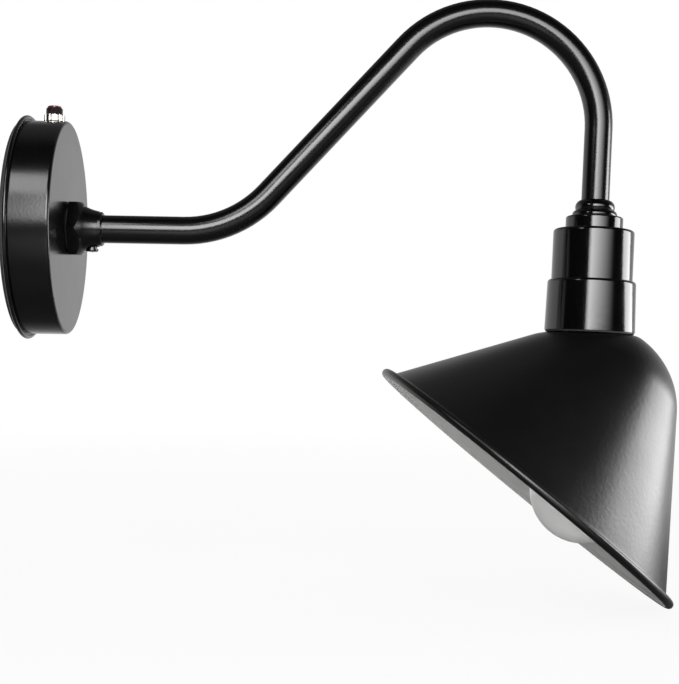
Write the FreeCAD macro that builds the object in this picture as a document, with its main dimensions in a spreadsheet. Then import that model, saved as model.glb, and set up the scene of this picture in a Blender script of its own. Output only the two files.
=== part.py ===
import FreeCAD, Part
import math
import os
import re
import Sketcher

# Gooseneck wall sconce with an angled shade and a light sensor on its canopy.
# Frame: X out of the wall, Z up, Y along the wall. The origin is on the wall plane, on the
# axis of the hub that holds the arm. Millimetres and degrees throughout.

DRIVING = [
    # canopy on the wall
    ("gasket_thick", 3.0, "foam ring between the wall and the back plate"),
    ("gasket_inset", 0.85, "its edge inside the canopy's"),
    ("gasket_width", 8.0, "from its edge to its opening"),
    ("plate_thick", 1.2, "back plate sheet"),
    ("plate_opening", 24.0, "radius of the wiring opening in the back plate"),
    ("plate_margin", 1.85, "from the cup's wall out to the middle of the rolled rim"),
    ("rim_radius", 1.3, "rolled rim of the back plate"),
    ("cup_radius", 64.85, "outside of the canopy cup"),
    ("cup_depth", 24.0, "from the back plate to the cup's front"),
    ("cup_wall", 1.2, "sheet of the canopy cup"),
    ("cup_edge", 1.8, "rounding of the cup's front edge"),
    # strap that carries the canopy
    ("strap_thick", 1.6, "steel strap"),
    ("strap_width", 16.0, "along the wall"),
    ("strap_clear", 0.4, "between the strap's ears and the cup"),
    ("ear_depth", 5.9, "how far the ears stand off the back plate"),
    ("slot_spacing", 88.9, "between the two junction box screws"),
    ("slot_length", 14.0, "end to end"),
    ("slot_radius", 2.3, "half the slot's width"),
    ("rivet_spacing", 60.0, "between the two rivets that hold the strap"),
    ("rivet_radius", 1.6, "shank"),
    ("rivet_head", 3.0, "radius"),
    ("rivet_head_thick", 0.9, "each head"),
    ("ground_drop", 16.0, "ground screw below the hub axis"),
    ("ground_radius", 2.0, "ground screw shank"),
    ("ground_head", 4.2, "radius"),
    ("ground_head_thick", 2.2, "head"),
    ("ground_shank", 3.0, "shank length"),
    ("grub_radius", 1.75, "canopy side screws"),
    ("grub_length", 6.0, "canopy side screws"),
    ("grub_reach", 3.5, "from the back plate to the middle of the side screws"),
    ("socket_depth", 1.6, "hexagon socket of a grub screw"),
    # light sensor on the canopy
    ("sensor_forward", 13.1, "sensor axis in front of the back plate"),
    ("sensor_radius", 5.0, "threaded barrel"),
    ("sensor_height", 9.2, "barrel above the cup"),
    ("sensor_edge", 0.7, "chamfer on the barrel's end"),
    ("sensor_body_radius", 7.0, "part inside the canopy"),
    ("sensor_body_length", 18.0, "part inside the canopy"),
    ("sensor_skin_gap", 0.7, "from the cup's inside to the sensor's body"),
    ("lens_radius", 4.15, "sensor window"),
    ("lens_height", 1.5, "sensor window"),
    ("seal_radius", 7.0, "rubber washer under the sensor nut"),
    ("seal_thick", 0.5, "rubber washer at its thinnest"),
    ("nut_radius", 6.65, "knurled sensor nut"),
    ("nut_height", 4.4, "knurled sensor nut"),
    ("nut_chamfer", 0.9, "top of the sensor nut"),
    ("nut_flute", 0.75, "radius of a flute round the sensor nut"),
    ("nut_flutes", 14, "number of flutes"),
    # hub
    ("hub_seal_thick", 0.8, "gasket between the hub and the cup"),
    ("hub_seal_radius", 14.8, "outside of that gasket"),
    ("hub_flats", 32.0, "across the flats of the hexagon"),
    ("hex_turn", 4.0, "the hexagon's flats are turned from level by this"),
    ("hex_length", 8.4, "hexagon of the hub"),
    ("hex_chamfer", 4.9, "chamfer at the hexagon's corners"),
    ("hex_land", 1.2, "chamfer circle inside the flats"),
    ("flare_start", 14.0, "radius where the flare leaves the hexagon"),
    ("flare_end", 10.9, "radius where the flare meets the collar"),
    ("flare_length", 8.8, "hollow flare"),
    ("flare_curve", 28.0, "radius of the hollow in the flare"),
    ("collar_radius", 10.5, "end collar of the hub"),
    ("collar_length", 2.4, "end collar of the hub"),
    ("collar_chamfer", 0.7, "end collar of the hub"),
    ("hub_socket", 14.0, "how deep the arm goes into the hub"),
    ("shank_radius", 7.9, "threaded shank of the hub"),
    ("shank_length", 16.0, "threaded shank of the hub"),
    ("wire_way", 5.0, "radius of the passage through the hub"),
    ("washer_radius", 13.0, "hub washer"),
    ("washer_thick", 1.5, "hub washer"),
    ("lock_nut_flats", 24.0, "hub lock nut"),
    ("lock_nut_thick", 5.0, "hub lock nut"),
    ("set_screw_radius", 3.0, "screw that clamps the arm in the hub"),
    ("set_screw_back", 6.6, "from the hub's end to the middle of the set screw"),
    ("set_screw_proud", 3.1, "set screw beyond the flare's thin end"),
    ("set_screw_head", 3.8, "radius of its head"),
    ("set_screw_seat", 12.3, "spot face under its head, from the hub's axis"),
    ("set_screw_edge", 0.6, "chamfer of its head"),
    # arm
    ("arm_radius", 8.55, "3/8 iron pipe size tube"),
    ("arm_wall", 1.2, "tube wall"),
    ("arm_corner", 128.7, "where the level run would meet the rising run, from the wall"),
    ("rise_angle", 47.75, "slope of the rising run"),
    ("low_bend", 70.0, "radius of the bend by the canopy"),
    ("high_bend", 68.5, "radius of the crook"),
    ("drop_reach", 351.1, "socket axis from the wall, at the height of the hub"),
    ("drop_lean", 2.0, "the socket axis leans back to the wall by this"),
    ("seat_drop", 59.2, "shade seat below the hub axis"),
    # neck and lampholder cans, measured up from the seat
    ("can_seal_thick", 1.0, "rubber ring between the lower can and the shade"),
    ("can_seal_radius", 27.0, "rubber ring between the lower can and the shade"),
    ("lower_can_radius", 27.0, "outside, below its shoulder"),
    ("lower_can_spread", 0.6, "how much wider its foot is"),
    ("lower_can_height", 31.4, "lower can"),
    ("upper_can_radius", 24.75, "outside"),
    ("upper_can_rise", 31.4, "upper can above the lower one"),
    ("upper_can_lap", 9.0, "upper can inside the lower one"),
    ("can_wall", 1.0, "sheet of the cans"),
    ("can_round", 2.0, "top edge of the upper can"),
    ("shoulder_round", 2.0, "top edge of the lower can"),
    ("ring_radius", 17.5, "ring on top of the cans"),
    ("ring_height", 8.1, "ring on top of the cans"),
    ("ring_round", 1.3, "top edge of the ring"),
    ("low_bead_foot", 13.5, "radius where the lower bead stands on the ring"),
    ("low_bead_neck", 11.4, "radius at its top"),
    ("low_bead_height", 4.0, "lower bead"),
    ("low_bead_round", 2.9, "its rounding"),
    ("high_bead_foot", 11.7, "radius where the upper bead stands on the lower one"),
    ("high_bead_neck", 9.0, "radius at its top"),
    ("high_bead_height", 6.3, "upper bead"),
    ("high_bead_round", 4.6, "its rounding"),
    ("collar_floor", 3.0, "bottom of the neck collar"),
    ("nipple_radius", 4.9, "threaded nipple"),
    ("nipple_bore", 3.5, "radius"),
    ("nipple_length", 19.5, "threaded nipple"),
    ("jam_nut_flats", 15.0, "nut under the yoke"),
    ("jam_nut_thick", 4.0, "nut under the yoke"),
    ("yoke_thick", 1.5, "strap that carries the lampholder"),
    ("yoke_half", 17.0, "half its width"),
    ("yoke_depth", 12.0, "its breadth"),
    ("yoke_foot", 8.0, "length of each foot"),
    ("yoke_screw_out", 12.6, "yoke screws from the axis"),
    # lampholder
    ("holder_radius", 19.0, "porcelain lampholder"),
    ("holder_top", 28.0, "top of the porcelain above the seat"),
    ("holder_drop", 9.5, "porcelain below the seat"),
    ("holder_floor", 10.0, "porcelain above the screw shell"),
    ("shell_radius", 14.3, "outside of the screw shell"),
    ("shell_wall", 0.5, "screw shell"),
    ("tongue_thick", 0.6, "centre contact"),
    ("tongue_width", 7.0, "centre contact"),
    ("tongue_out", 9.0, "riveted end of the centre contact from the axis"),
    ("tongue_step", 4.0, "half the pad of the centre contact"),
    ("clamp_radius", 24.4, "ring that clamps the shade"),
    ("clamp_height", 4.5, "ring that clamps the shade"),
    ("clamp_flutes", 12, "grip notches round that ring"),
    ("clamp_flute", 1.6, "radius of a grip notch"),
    ("wood_screw_radius", 1.5, "yoke screws"),
    ("wood_screw_length", 7.0, "yoke screws"),
    ("wood_screw_head", 2.8, "radius"),
    ("wood_screw_head_thick", 1.8, "yoke screws"),
    # shade, in its own frame: middle of the mouth, axis up to the nose
    ("shade_tilt", 38.84, "the mouth tips down away from the wall by this"),
    ("mouth_radius", 107.65, "cone at the mouth"),
    ("cone_angle", 34.26, "between the cone and the shade's axis"),
    ("nose_radius", 52.82, "rounded nose"),
    ("shade_wall", 1.0, "spun sheet"),
    ("lip_radius", 2.55, "rolled lip of the mouth"),
    ("lip_out", 1.95, "middle of the lip outside the cone"),
    ("lip_rise", 0.7, "middle of the lip above the mouth"),
    ("seat_flat", 26.89, "radius of the flat seat pressed into the nose"),
    ("seat_shift", 1.7, "lampholder's axis from the middle of the flat, away from the nose"),
    ("seat_wall", 1.2, "sheet at the flat seat"),
    # bulb
    ("glass_radius", 32.0, "widest part of the bulb"),
    ("glass_centre", 97.3, "middle of the round end below the seat"),
    ("glass_neck", 13.4, "glass where it leaves the cap"),
    ("glass_wall", 0.8, "glass"),
    ("neck_length", 4.0, "straight neck of the glass below the cap"),
    ("cap_radius", 13.0, "crest of the bulb's thread"),
    ("cap_wall", 0.5, "sheet of the cap"),
    ("cap_length", 21.5, "metal cap of the bulb"),
    ("cap_skirt", 2.6, "plain edge below the cap's thread"),
    ("cap_shoulder", 2.0, "height over which the cap closes in"),
    ("cap_mouth", 7.0, "radius of the opening in the cap's top"),
    ("thread_pitch", 3.629, "seven threads to the inch"),
    ("thread_depth", 0.75, "grooves of the cap"),
    ("cap_top", 9.0, "top of the metal cap above the seat"),
    ("insulator_height", 3.0, "black cone on the cap"),
    ("contact_radius", 4.6, "end contact of the bulb"),
    ("contact_height", 1.2, "end contact of the bulb"),
    ("stem_radius", 2.2, "glass stem"),
    ("stem_flare", 8.0, "height over which the stem widens to the neck"),
    ("stem_reach", 40.0, "stem below the cap's top"),
    ("post_radius", 0.9, "thin post below the stem"),
    ("filament_radius", 0.8, "light strip"),
    ("filament_length", 54.0, "light strip"),
    ("filament_circle", 11.0, "strips from the axis"),
    ("filament_count", 4, "number of strips"),
    ("wire_thin", 0.35, "support wire"),
    # leads
    ("lead_radius", 2.8, "sheathed lead through the arm"),
    ("wire_radius", 1.1, "insulated wire inside the canopy"),
    ("connector_radius", 5.0, "wire connector"),
    ("connector_length", 19.0, "wire connector"),
    ("connector_mouth", 3.7, "radius"),
    ("connector_deep", 8.0, "depth of its mouth"),
    ("connector_side", 18.0, "outer connectors from the middle one"),
    ("connector_drop", 25.0, "their mouths below the hub axis"),
    ("connector_forward", 10.0, "connectors in front of the back plate"),
    ("wire_apart", 1.3, "wires from the middle of a connector or a lead"),
    ("wire_bend", 8.0, "bends of the wires"),
    # clearances
    ("running", 0.06, "between a turning piece and its bore"),
    ("apart", 0.3, "between faces that turn past each other"),
    ("push_fit", 0.05, "between fixed pieces, one in the other"),
]

DERIVED = [
    ("plate_front", "gasket_thick + plate_thick"),
    ("cup_front", "plate_front + cup_depth"),
    ("gasket_outer", "cup_radius - gasket_inset"),
    ("gasket_inner", "gasket_outer - gasket_width"),
    ("rim_circle", "cup_radius + plate_margin"),
    ("rim_level", "gasket_thick + plate_thick / 2"),
    ("ear_face", "sqrt(pow(cup_radius - cup_wall - strap_clear; 2) - pow(strap_width / 2; 2))"),
    ("sensor_axis", "plate_front + sensor_forward"),
    ("grub_axis", "plate_front + grub_reach"),
    ("lens_dome", "(pow(lens_radius; 2) + pow(lens_height / 2; 2)) / lens_height"),
    ("hub_face", "cup_front + hub_seal_thick"),
    ("hub_end", "hub_face + hex_length + flare_length + collar_length"),
    ("hex_corner", "hub_flats / sqrt(3)"),
    ("lock_corner", "lock_nut_flats / sqrt(3)"),
    ("jam_corner", "jam_nut_flats / sqrt(3)"),
    ("arm_start", "hub_end - hub_socket + apart"),
    ("low_tangent", "low_bend * tan(rise_angle / 2)"),
    ("low_in_x", "arm_corner - low_tangent"),
    ("low_out_x", "arm_corner + low_tangent * cos(rise_angle)"),
    ("low_out_z", "low_tangent * sin(rise_angle)"),
    ("high_tangent", "high_bend * tan((90 + rise_angle + drop_lean) / 2)"),
    ("crook_z", "(drop_reach - arm_corner) * tan(rise_angle) / (1 - tan(drop_lean) * tan(rise_angle))"),
    ("crook_x", "drop_reach + crook_z * tan(drop_lean)"),
    ("high_in_x", "crook_x - high_tangent * cos(rise_angle)"),
    ("high_in_z", "crook_z - high_tangent * sin(rise_angle)"),
    ("high_out_x", "crook_x - high_tangent * sin(drop_lean)"),
    ("high_out_z", "crook_z - high_tangent * cos(drop_lean)"),
    ("seat_x", "drop_reach - seat_drop * tan(drop_lean)"),
    ("lower_can_base", "apart + can_seal_thick"),
    ("lower_can_top", "lower_can_base + lower_can_height"),
    ("upper_can_top", "lower_can_top + upper_can_rise"),
    ("upper_can_base", "lower_can_top - upper_can_lap"),
    ("ring_top", "upper_can_top + ring_height"),
    ("low_bead_top", "ring_top + low_bead_height"),
    ("neck_top", "low_bead_top + high_bead_height"),
    ("can_inner_round", "can_round - can_wall"),
    ("shoulder_inner_round", "shoulder_round - can_wall"),
    ("tube_end", "ring_top + collar_floor"),
    ("tube_end_x", "seat_x + tube_end * sin(drop_lean)"),
    ("tube_end_z", "tube_end * cos(drop_lean) - seat_drop"),
    ("lead_end_x", "seat_x + holder_top * sin(drop_lean)"),
    ("lead_end_z", "holder_top * cos(drop_lean) - seat_drop"),
    ("nipple_end", "tube_end - nipple_length"),
    ("yoke_top", "upper_can_top - can_wall"),
    ("wood_screw_dome",
     "(pow(wood_screw_head; 2) + pow(wood_screw_head_thick / 2; 2)) / wood_screw_head_thick"),
    ("socket_floor", "holder_top - holder_floor"),
    ("tongue_level", "cap_top + insulator_height + contact_height + apart / 2"),
    ("clamp_top", "-seat_wall - apart"),
    ("nose_centre", "(mouth_radius - nose_radius / cos(cone_angle)) / tan(cone_angle)"),
    ("seat_angle", "shade_tilt - drop_lean"),
    ("seat_rise", "sqrt(pow(nose_radius; 2) - pow(seat_flat; 2))"),
    ("seat_side", "seat_rise * sin(seat_angle) + seat_shift * cos(seat_angle)"),
    ("seat_height", "nose_centre + seat_rise * cos(seat_angle) - seat_shift * sin(seat_angle)"),
    ("mouth_x", "seat_x + seat_side * cos(shade_tilt) - seat_height * sin(shade_tilt)"),
    ("mouth_z", "-seat_drop - seat_side * sin(shade_tilt) - seat_height * cos(shade_tilt)"),
    ("nose_top", "nose_centre + nose_radius"),
    ("cone_end_radius", "nose_radius * cos(cone_angle)"),
    ("cone_end_height", "nose_centre + nose_radius * sin(cone_angle)"),
    ("inner_nose", "nose_radius - shade_wall"),
    ("inner_mouth", "mouth_radius - shade_wall / cos(cone_angle)"),
    ("inner_end_radius", "inner_nose * cos(cone_angle)"),
    ("inner_end_height", "nose_centre + inner_nose * sin(cone_angle)"),
    ("cap_base", "cap_top - cap_length"),
    ("contact_dome", "(pow(contact_radius; 2) + pow(contact_height / 2; 2)) / contact_height"),
    ("glass_top", "cap_base - neck_length"),
    ("glass_span", "sqrt(pow(glass_centre + glass_top; 2) + pow(glass_neck; 2))"),
    ("glass_slope", "asin(glass_radius / glass_span) - atan(glass_neck / (glass_centre + glass_top))"),
    ("glass_wide", "glass_radius * cos(glass_slope)"),
    ("glass_low", "-glass_centre + glass_radius * sin(glass_slope)"),
    ("inner_glass", "glass_radius - glass_wall"),
    ("inner_wide", "inner_glass * cos(glass_slope)"),
    ("inner_low", "-glass_centre + inner_glass * sin(glass_slope)"),
    ("inner_neck", "glass_neck - glass_wall"),
    ("filament_top", "cap_top - stem_reach"),
    ("filament_low", "filament_top - filament_length"),
    ("slot_low", "slot_spacing / 2 - slot_length / 2 + slot_radius"),
    ("slot_high", "slot_spacing / 2 + slot_length / 2 - slot_radius"),
    ("shank_end", "hub_face - shank_length"),
    ("connector_axis", "plate_front + connector_forward"),
]

doc = FreeCAD.newDocument("wall_sconce")
sheet = doc.addObject("Spreadsheet::Sheet", "Dimensions")
SUBPARTS = []


def fill_sheet():
    """Write the driving sizes as plain numbers, and the sizes that follow from them as formulas."""
    rows = [(name, str(size), note) for name, size, note in DRIVING]
    rows += [(name, "=" + formula, "follows from the others") for name, formula in DERIVED]
    for row, (name, cell, note) in enumerate(rows, start=1):
        sheet.set(f"A{row}", name)
        sheet.set(f"B{row}", cell)
        sheet.set(f"C{row}", note)
        sheet.setAlias(f"B{row}", name)
    doc.recompute()


fill_sheet()
NAMES = {row[0] for row in DRIVING + DERIVED}


def size(name):
    """The number in the cell that has this name."""
    return float(sheet.get(name))


def bound(text):
    """The same sum as an expression that reads the sheet."""
    return re.sub(r"[a-z]\w*", lambda word: "Dimensions." + word.group() if word.group() in NAMES
                  else word.group(), text)


def amount(text):
    """The number that a sum of named sizes comes to, such as 'cup_radius - cup_wall / 2'."""
    total = 0.0
    for sign, term in re.findall(r"([+-]?)\s*([\w.]+(?:\s*[*/]\s*[\w.]+)*)", text):
        product = 1.0
        for mark, factor in re.findall(r"([*/]?)\s*([\w.]+)", term):
            number = size(factor) if factor in NAMES else float(factor)
            product = product / number if mark == "/" else product * number
        total += -product if sign == "-" else product
    return total


def is_zero(text):
    return abs(amount(text)) < 1e-9


def bind(thing, prop, text):
    thing.setExpression(prop, bound(text))


def new_body(label, at=("0", "0", "0"), lean="0"):
    """A body whose frame stands at a point and is turned about Y."""
    body = doc.addObject("PartDesign::Body", label)
    body.Label = label
    body.Placement = FreeCAD.Placement(
        FreeCAD.Vector(*[amount(value) for value in at]),
        FreeCAD.Rotation(FreeCAD.Vector(0, 1, 0), amount(lean)))
    for letter, value in zip("xyz", at):
        bind(body, f"Placement.Base.{letter}", value)
    bind(body, "Placement.Rotation.Angle", lean)
    return body


def socket_body(label):
    """A body in the lampholder's frame: origin on the shade seat, Z up the socket axis."""
    return new_body(label, ("seat_x", "0", "-seat_drop"), "drop_lean")


def shade_body(label):
    """A body in the shade's frame: origin in the middle of the mouth, Z up its axis."""
    return new_body(label, ("mouth_x", "0", "mouth_z"), "shade_tilt")


def sketch_on(body, role, offset="0"):
    """A sketch on one of the body's own planes, moved along that plane's normal."""
    plane = [item for item in body.Origin.OriginFeatures if item.Role == role][0]
    sketch = body.newObject("Sketcher::SketchObject", body.Name + "_sketch")
    sketch.AttachmentSupport = [(plane, "")]
    sketch.MapMode = "FlatFace"
    sketch.AttachmentOffset = FreeCAD.Placement(FreeCAD.Vector(0, 0, amount(offset)), FreeCAD.Rotation())
    bind(sketch, "AttachmentOffset.Base.z", offset)
    return sketch


def arc_between(start, end, radius):
    """The short arc from start to end, bent left for a positive radius and right for a negative one."""
    chord = end - start
    middle = (start + end) * 0.5
    left = FreeCAD.Vector(-chord.y, chord.x, 0) / chord.Length
    rise = math.sqrt(max(radius * radius - chord.Length ** 2 / 4, 0))
    centre = middle + left * math.copysign(rise, radius)
    first, last = (start, end) if radius > 0 else (end, start)
    from_angle = math.atan2(first.y - centre.y, first.x - centre.x)
    to_angle = math.atan2(last.y - centre.y, last.x - centre.x)
    if to_angle < from_angle:
        to_angle += 2 * math.pi
    circle = Part.Circle(centre, FreeCAD.Vector(0, 0, 1), abs(radius))
    return Part.ArcOfCircle(circle, from_angle, to_angle)


HALF_TURN = "half turn to the left"


def place_point(sketch, edge, end, across, up):
    """Hold one end of an edge at two named distances from the sketch's origin."""
    for kind, text, axis in (("DistanceX", across, -2), ("DistanceY", up, -1)):
        if is_zero(text):
            sketch.addConstraint(Sketcher.Constraint("PointOnObject", edge, end, axis))
        else:
            index = sketch.addConstraint(Sketcher.Constraint(kind, -1, 1, edge, end, amount(text)))
            bind(sketch, f"Constraints[{index}]", text)


def draw(sketch, corners, closed=True):
    """Lines and arcs through corners, each (across, up) or (across, up, radius of the arc that follows)."""
    points = [FreeCAD.Vector(amount(corner[0]), amount(corner[1]), 0) for corner in corners]
    count = len(corners) if closed else len(corners) - 1
    heads = []
    for index in range(count):
        start = points[index]
        end = points[(index + 1) % len(points)]
        bend = corners[index][2] if len(corners[index]) > 2 else None
        if bend is None:
            edge = sketch.addGeometry(Part.LineSegment(start, end), False)
            heads.append((edge, 1, 2))
            continue
        if bend == HALF_TURN:
            edge = sketch.addGeometry(arc_between(start, end, start.distanceToPoint(end) / 2), False)
            heads.append((edge, 1, 2))
            continue
        radius = amount(bend)
        edge = sketch.addGeometry(arc_between(start, end, radius), False)
        heads.append((edge, 1, 2) if radius > 0 else (edge, 2, 1))
        held = sketch.addConstraint(Sketcher.Constraint("Radius", edge, abs(radius)))
        bind(sketch, f"Constraints[{held}]", bend.lstrip("-"))
    for index, (edge, start_end, far_end) in enumerate(heads):
        place_point(sketch, edge, start_end, corners[index][0], corners[index][1])
        if closed or index + 1 < len(heads):
            after, after_start, _ = heads[(index + 1) % len(heads)]
            meeting = "Tangent" if corners[index][2:] == (HALF_TURN,) else "Coincident"
            sketch.addConstraint(Sketcher.Constraint(meeting, edge, far_end, after, after_start))
        else:
            place_point(sketch, edge, far_end, corners[-1][0], corners[-1][1])
    return sketch


def draw_circle(sketch, across, up, radius):
    """A circle held at two named distances, with a named radius."""
    centre = FreeCAD.Vector(amount(across), amount(up), 0)
    edge = sketch.addGeometry(Part.Circle(centre, FreeCAD.Vector(0, 0, 1), amount(radius)), False)
    place_point(sketch, edge, 3, across, up)
    held = sketch.addConstraint(Sketcher.Constraint("Radius", edge, amount(radius)))
    bind(sketch, f"Constraints[{held}]", radius)
    return sketch


def draw_hexagon(sketch, corner, flats):
    """A hexagon with its flats above and below the middle."""
    half = flats + " / 2"
    draw(sketch, [(corner, "0"), (corner + " / 2", half), ("-" + corner + " / 2", half),
                  ("-" + corner, "0"), ("-" + corner + " / 2", "-" + half), (corner + " / 2", "-" + half)])
    return sketch


def spin(body, corners, axis, cut=False):
    """Turn an outline about the sketch's upright (V) or level (H) axis, to add or to cut."""
    sketch = draw(sketch_on(body, "XZ_Plane"), corners)
    kind = "PartDesign::Groove" if cut else "PartDesign::Revolution"
    turned = body.newObject(kind, body.Name + "_turned")
    turned.Profile = sketch
    turned.ReferenceAxis = (sketch, [axis])
    turned.Angle = 360
    doc.recompute()
    return turned


def pad(body, sketch, length, both_sides=False):
    """Raise a sketch off its plane by a named length."""
    block = body.newObject("PartDesign::Pad", body.Name + "_pad")
    block.Profile = sketch
    block.Length = amount(length)
    bind(block, "Length", length)
    block.Midplane = both_sides
    doc.recompute()
    return block


def pocket(body, sketch, length, against=False, both_sides=False, through=False):
    """Cut a sketch into the body and make sure that it took something away."""
    before = body.Shape.Volume
    cut = body.newObject("PartDesign::Pocket", body.Name + "_pocket")
    cut.Profile = sketch
    if through:
        cut.Type = "ThroughAll"
    else:
        cut.Length = amount(length)
        bind(cut, "Length", length)
    cut.Reversed = against
    cut.Midplane = both_sides
    doc.recompute()
    if not body.Shape.Volume < before - 1e-6:
        raise RuntimeError(body.Label + ": a pocket takes nothing away")
    return cut


def around(body, feature, count, axis_role):
    """Repeat a feature round one of the body's own axes."""
    line = [item for item in body.Origin.OriginFeatures if item.Role == axis_role][0]
    pattern = body.newObject("PartDesign::PolarPattern", body.Name + "_round")
    pattern.Originals = [feature]
    pattern.Axis = (line, [""])
    pattern.Angle = 360
    pattern.Occurrences = int(size(count))
    bind(pattern, "Occurrences", count)
    body.Tip = pattern
    doc.recompute()
    return pattern


def keep(thing, label=None):
    """List a finished piece among the sub-parts."""
    if label:
        thing.Label = label
    SUBPARTS.append(thing)
    return thing


def turned_piece(label, corners, axis="H_Axis", frame=new_body):
    """A piece that is one turned outline."""
    body = frame(label)
    spin(body, corners, axis)
    return keep(body)


def ring_corners(inner, outer, low, high):
    """A square-edged ring in the lampholder's or shade's frame."""
    return [(inner, low), (outer, low), (outer, high), (inner, high)]


def disc_corners(low, high, inner, outer):
    """A square-edged ring round the hub axis, from one depth to another."""
    return [(low, inner), (high, inner), (high, outer), (low, outer)]


def route(points, bend):
    """A wire of straight runs and tangent arcs through points, the arcs all of one radius or less."""
    edges = []
    here = points[0]
    for before, corner, after in zip(points, points[1:], points[2:]):
        into = before - corner
        into.normalize()
        out = after - corner
        out.normalize()
        half = into.getAngle(out) / 2
        reach = min(bend / math.tan(half), 0.45 * before.distanceToPoint(corner),
                    0.45 * corner.distanceToPoint(after))
        radius = reach * math.tan(half)
        start = corner + into * reach
        end = corner + out * reach
        middle = into + out
        middle.normalize()
        crown = corner + middle * (radius / math.sin(half) - radius)
        edges.append(Part.LineSegment(here, start).toShape())
        edges.append(Part.Arc(start, crown, end).toShape())
        here = end
    edges.append(Part.LineSegment(here, points[-1]).toShape())
    return Part.Wire(edges)


def tube_along(wire, radius):
    """A round bar along a wire."""
    first = wire.Edges[0]
    start = first.valueAt(first.FirstParameter)
    disc = Part.Wire([Part.Circle(start, first.tangentAt(first.FirstParameter), radius).toShape()])
    return wire.makePipeShell([disc], True, True)


# ---------------------------------------------------------------- canopy on the wall

def wall_gasket():
    turned_piece("wall_gasket", disc_corners("0", "gasket_thick", "gasket_inner", "gasket_outer"))


def back_plate():
    """Flat disc with a rolled rim, a wiring opening, two slots and two rivet holes."""
    body = new_body("back_plate")
    spin(body, disc_corners("gasket_thick", "plate_front", "plate_opening", "rim_circle"), "H_Axis")
    spin_rim(body)
    slots(body, "gasket_thick", "plate_thick")
    for side in ("rivet_spacing / 2", "-rivet_spacing / 2"):
        hole = draw_circle(sketch_on(body, "YZ_Plane", "gasket_thick"), "0", side, "rivet_radius")
        pocket(body, hole, "plate_thick", against=True)
    keep(body)


def spin_rim(body):
    """The rolled rim is a round bead on the edge of the sheet."""
    sketch = draw_circle(sketch_on(body, "XZ_Plane"), "rim_level", "rim_circle", "rim_radius")
    bead = body.newObject("PartDesign::Revolution", "rolled_rim")
    bead.Profile = sketch
    bead.ReferenceAxis = (sketch, ["H_Axis"])
    bead.Angle = 360
    doc.recompute()


def slots(body, face, depth):
    """Two upright slots for the screws of a junction box."""
    for low, high in (("slot_low", "slot_high"), ("-slot_high", "-slot_low")):
        slot = draw(sketch_on(body, "YZ_Plane", face), [
            ("slot_radius", low), ("slot_radius", high, HALF_TURN),
            ("-slot_radius", high), ("-slot_radius", low, HALF_TURN)])
        pocket(body, slot, depth, against=True)


def mounting_strap():
    """Steel strap across the canopy, with an ear bent forward at each end for a side screw."""
    body = new_body("mounting_strap")
    front = "plate_front + ear_depth"
    back = "plate_front + strap_thick"
    inner = "ear_face - strap_thick"
    outline = draw(sketch_on(body, "XZ_Plane"), [
        ("plate_front", "-ear_face"), (front, "-ear_face"), (front, "-ear_face + strap_thick"),
        (back, "-ear_face + strap_thick"), (back, inner), (front, inner), (front, "ear_face"),
        ("plate_front", "ear_face")])
    pad(body, outline, "strap_width", both_sides=True)
    slots(body, "plate_front", "strap_thick")
    for side in ("rivet_spacing / 2", "-rivet_spacing / 2"):
        hole = draw_circle(sketch_on(body, "YZ_Plane", "plate_front"), "0", side, "rivet_radius")
        pocket(body, hole, "strap_thick", against=True)
    ground = draw_circle(sketch_on(body, "YZ_Plane", "plate_front"), "0", "-ground_drop", "ground_radius")
    pocket(body, ground, "strap_thick", against=True)
    tapped = draw_circle(sketch_on(body, "XY_Plane"), "grub_axis", "0", "grub_radius")
    pocket(body, tapped, "0", both_sides=True, through=True)
    keep(body)


def strap_rivets():
    """Two rivets that hold the strap on the back plate, a head at each end."""
    shank = doc.addObject("Part::Cylinder", "rivet_shank")
    bind(shank, "Radius", "rivet_radius")
    bind(shank, "Height", "plate_thick + strap_thick")
    rear = doc.addObject("Part::Cylinder", "rivet_rear_head")
    front = doc.addObject("Part::Cylinder", "rivet_front_head")
    for head, level in ((rear, "-rivet_head_thick"), (front, "plate_thick + strap_thick")):
        bind(head, "Radius", "rivet_head")
        bind(head, "Height", "rivet_head_thick")
        bind(head, "Placement.Base.z", level)
    rivet = doc.addObject("Part::MultiFuse", "rivet")
    rivet.Shapes = [rear, shank, front]
    forward = FreeCAD.Rotation(FreeCAD.Vector(0, 1, 0), 90)
    keep(copies("strap_rivets", rivet, [
        (("gasket_thick", "0", side), forward) for side in ("rivet_spacing / 2", "-rivet_spacing / 2")]))


def copies(label, piece, places):
    """A group of copies of one piece, each with a place and a rotation of its own."""
    made = []
    for number, (at, turn) in enumerate(places, start=1):
        copy = doc.addObject("Part::Compound", f"{label}_{number}")
        copy.Links = [piece]
        copy.Placement = FreeCAD.Placement(FreeCAD.Vector(*[amount(value) for value in at]), turn)
        for letter, value in zip("xyz", at):
            bind(copy, f"Placement.Base.{letter}", value)
        made.append(copy)
    group = doc.addObject("Part::Compound", label)
    group.Links = made
    doc.recompute()
    return group


def ground_screw():
    """Pan head with a cross slot, on the strap."""
    body = new_body("ground_screw", ("0", "0", "-ground_drop"))
    strap = "plate_front + strap_thick"
    top = strap + " + ground_head_thick"
    spin(body, disc_corners(strap + " - ground_shank", strap, "0", "ground_radius"), "H_Axis")
    spin(body, [(strap, "0"), (top, "0"), (top, "ground_head / 2", "ground_head_thick * 1.4"),
                (strap + " + ground_head_thick / 3", "ground_head"), (strap, "ground_head")], "H_Axis")
    long = "ground_head * 0.7"
    short = "ground_radius / 5"
    for across, up in ((long, short), (short, long)):
        cross = draw(sketch_on(body, "YZ_Plane", top), [
            (across, up), ("-" + across, up), ("-" + across, "-" + up), (across, "-" + up)])
        pocket(body, cross, "ground_head_thick / 2")
    keep(body)


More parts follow.
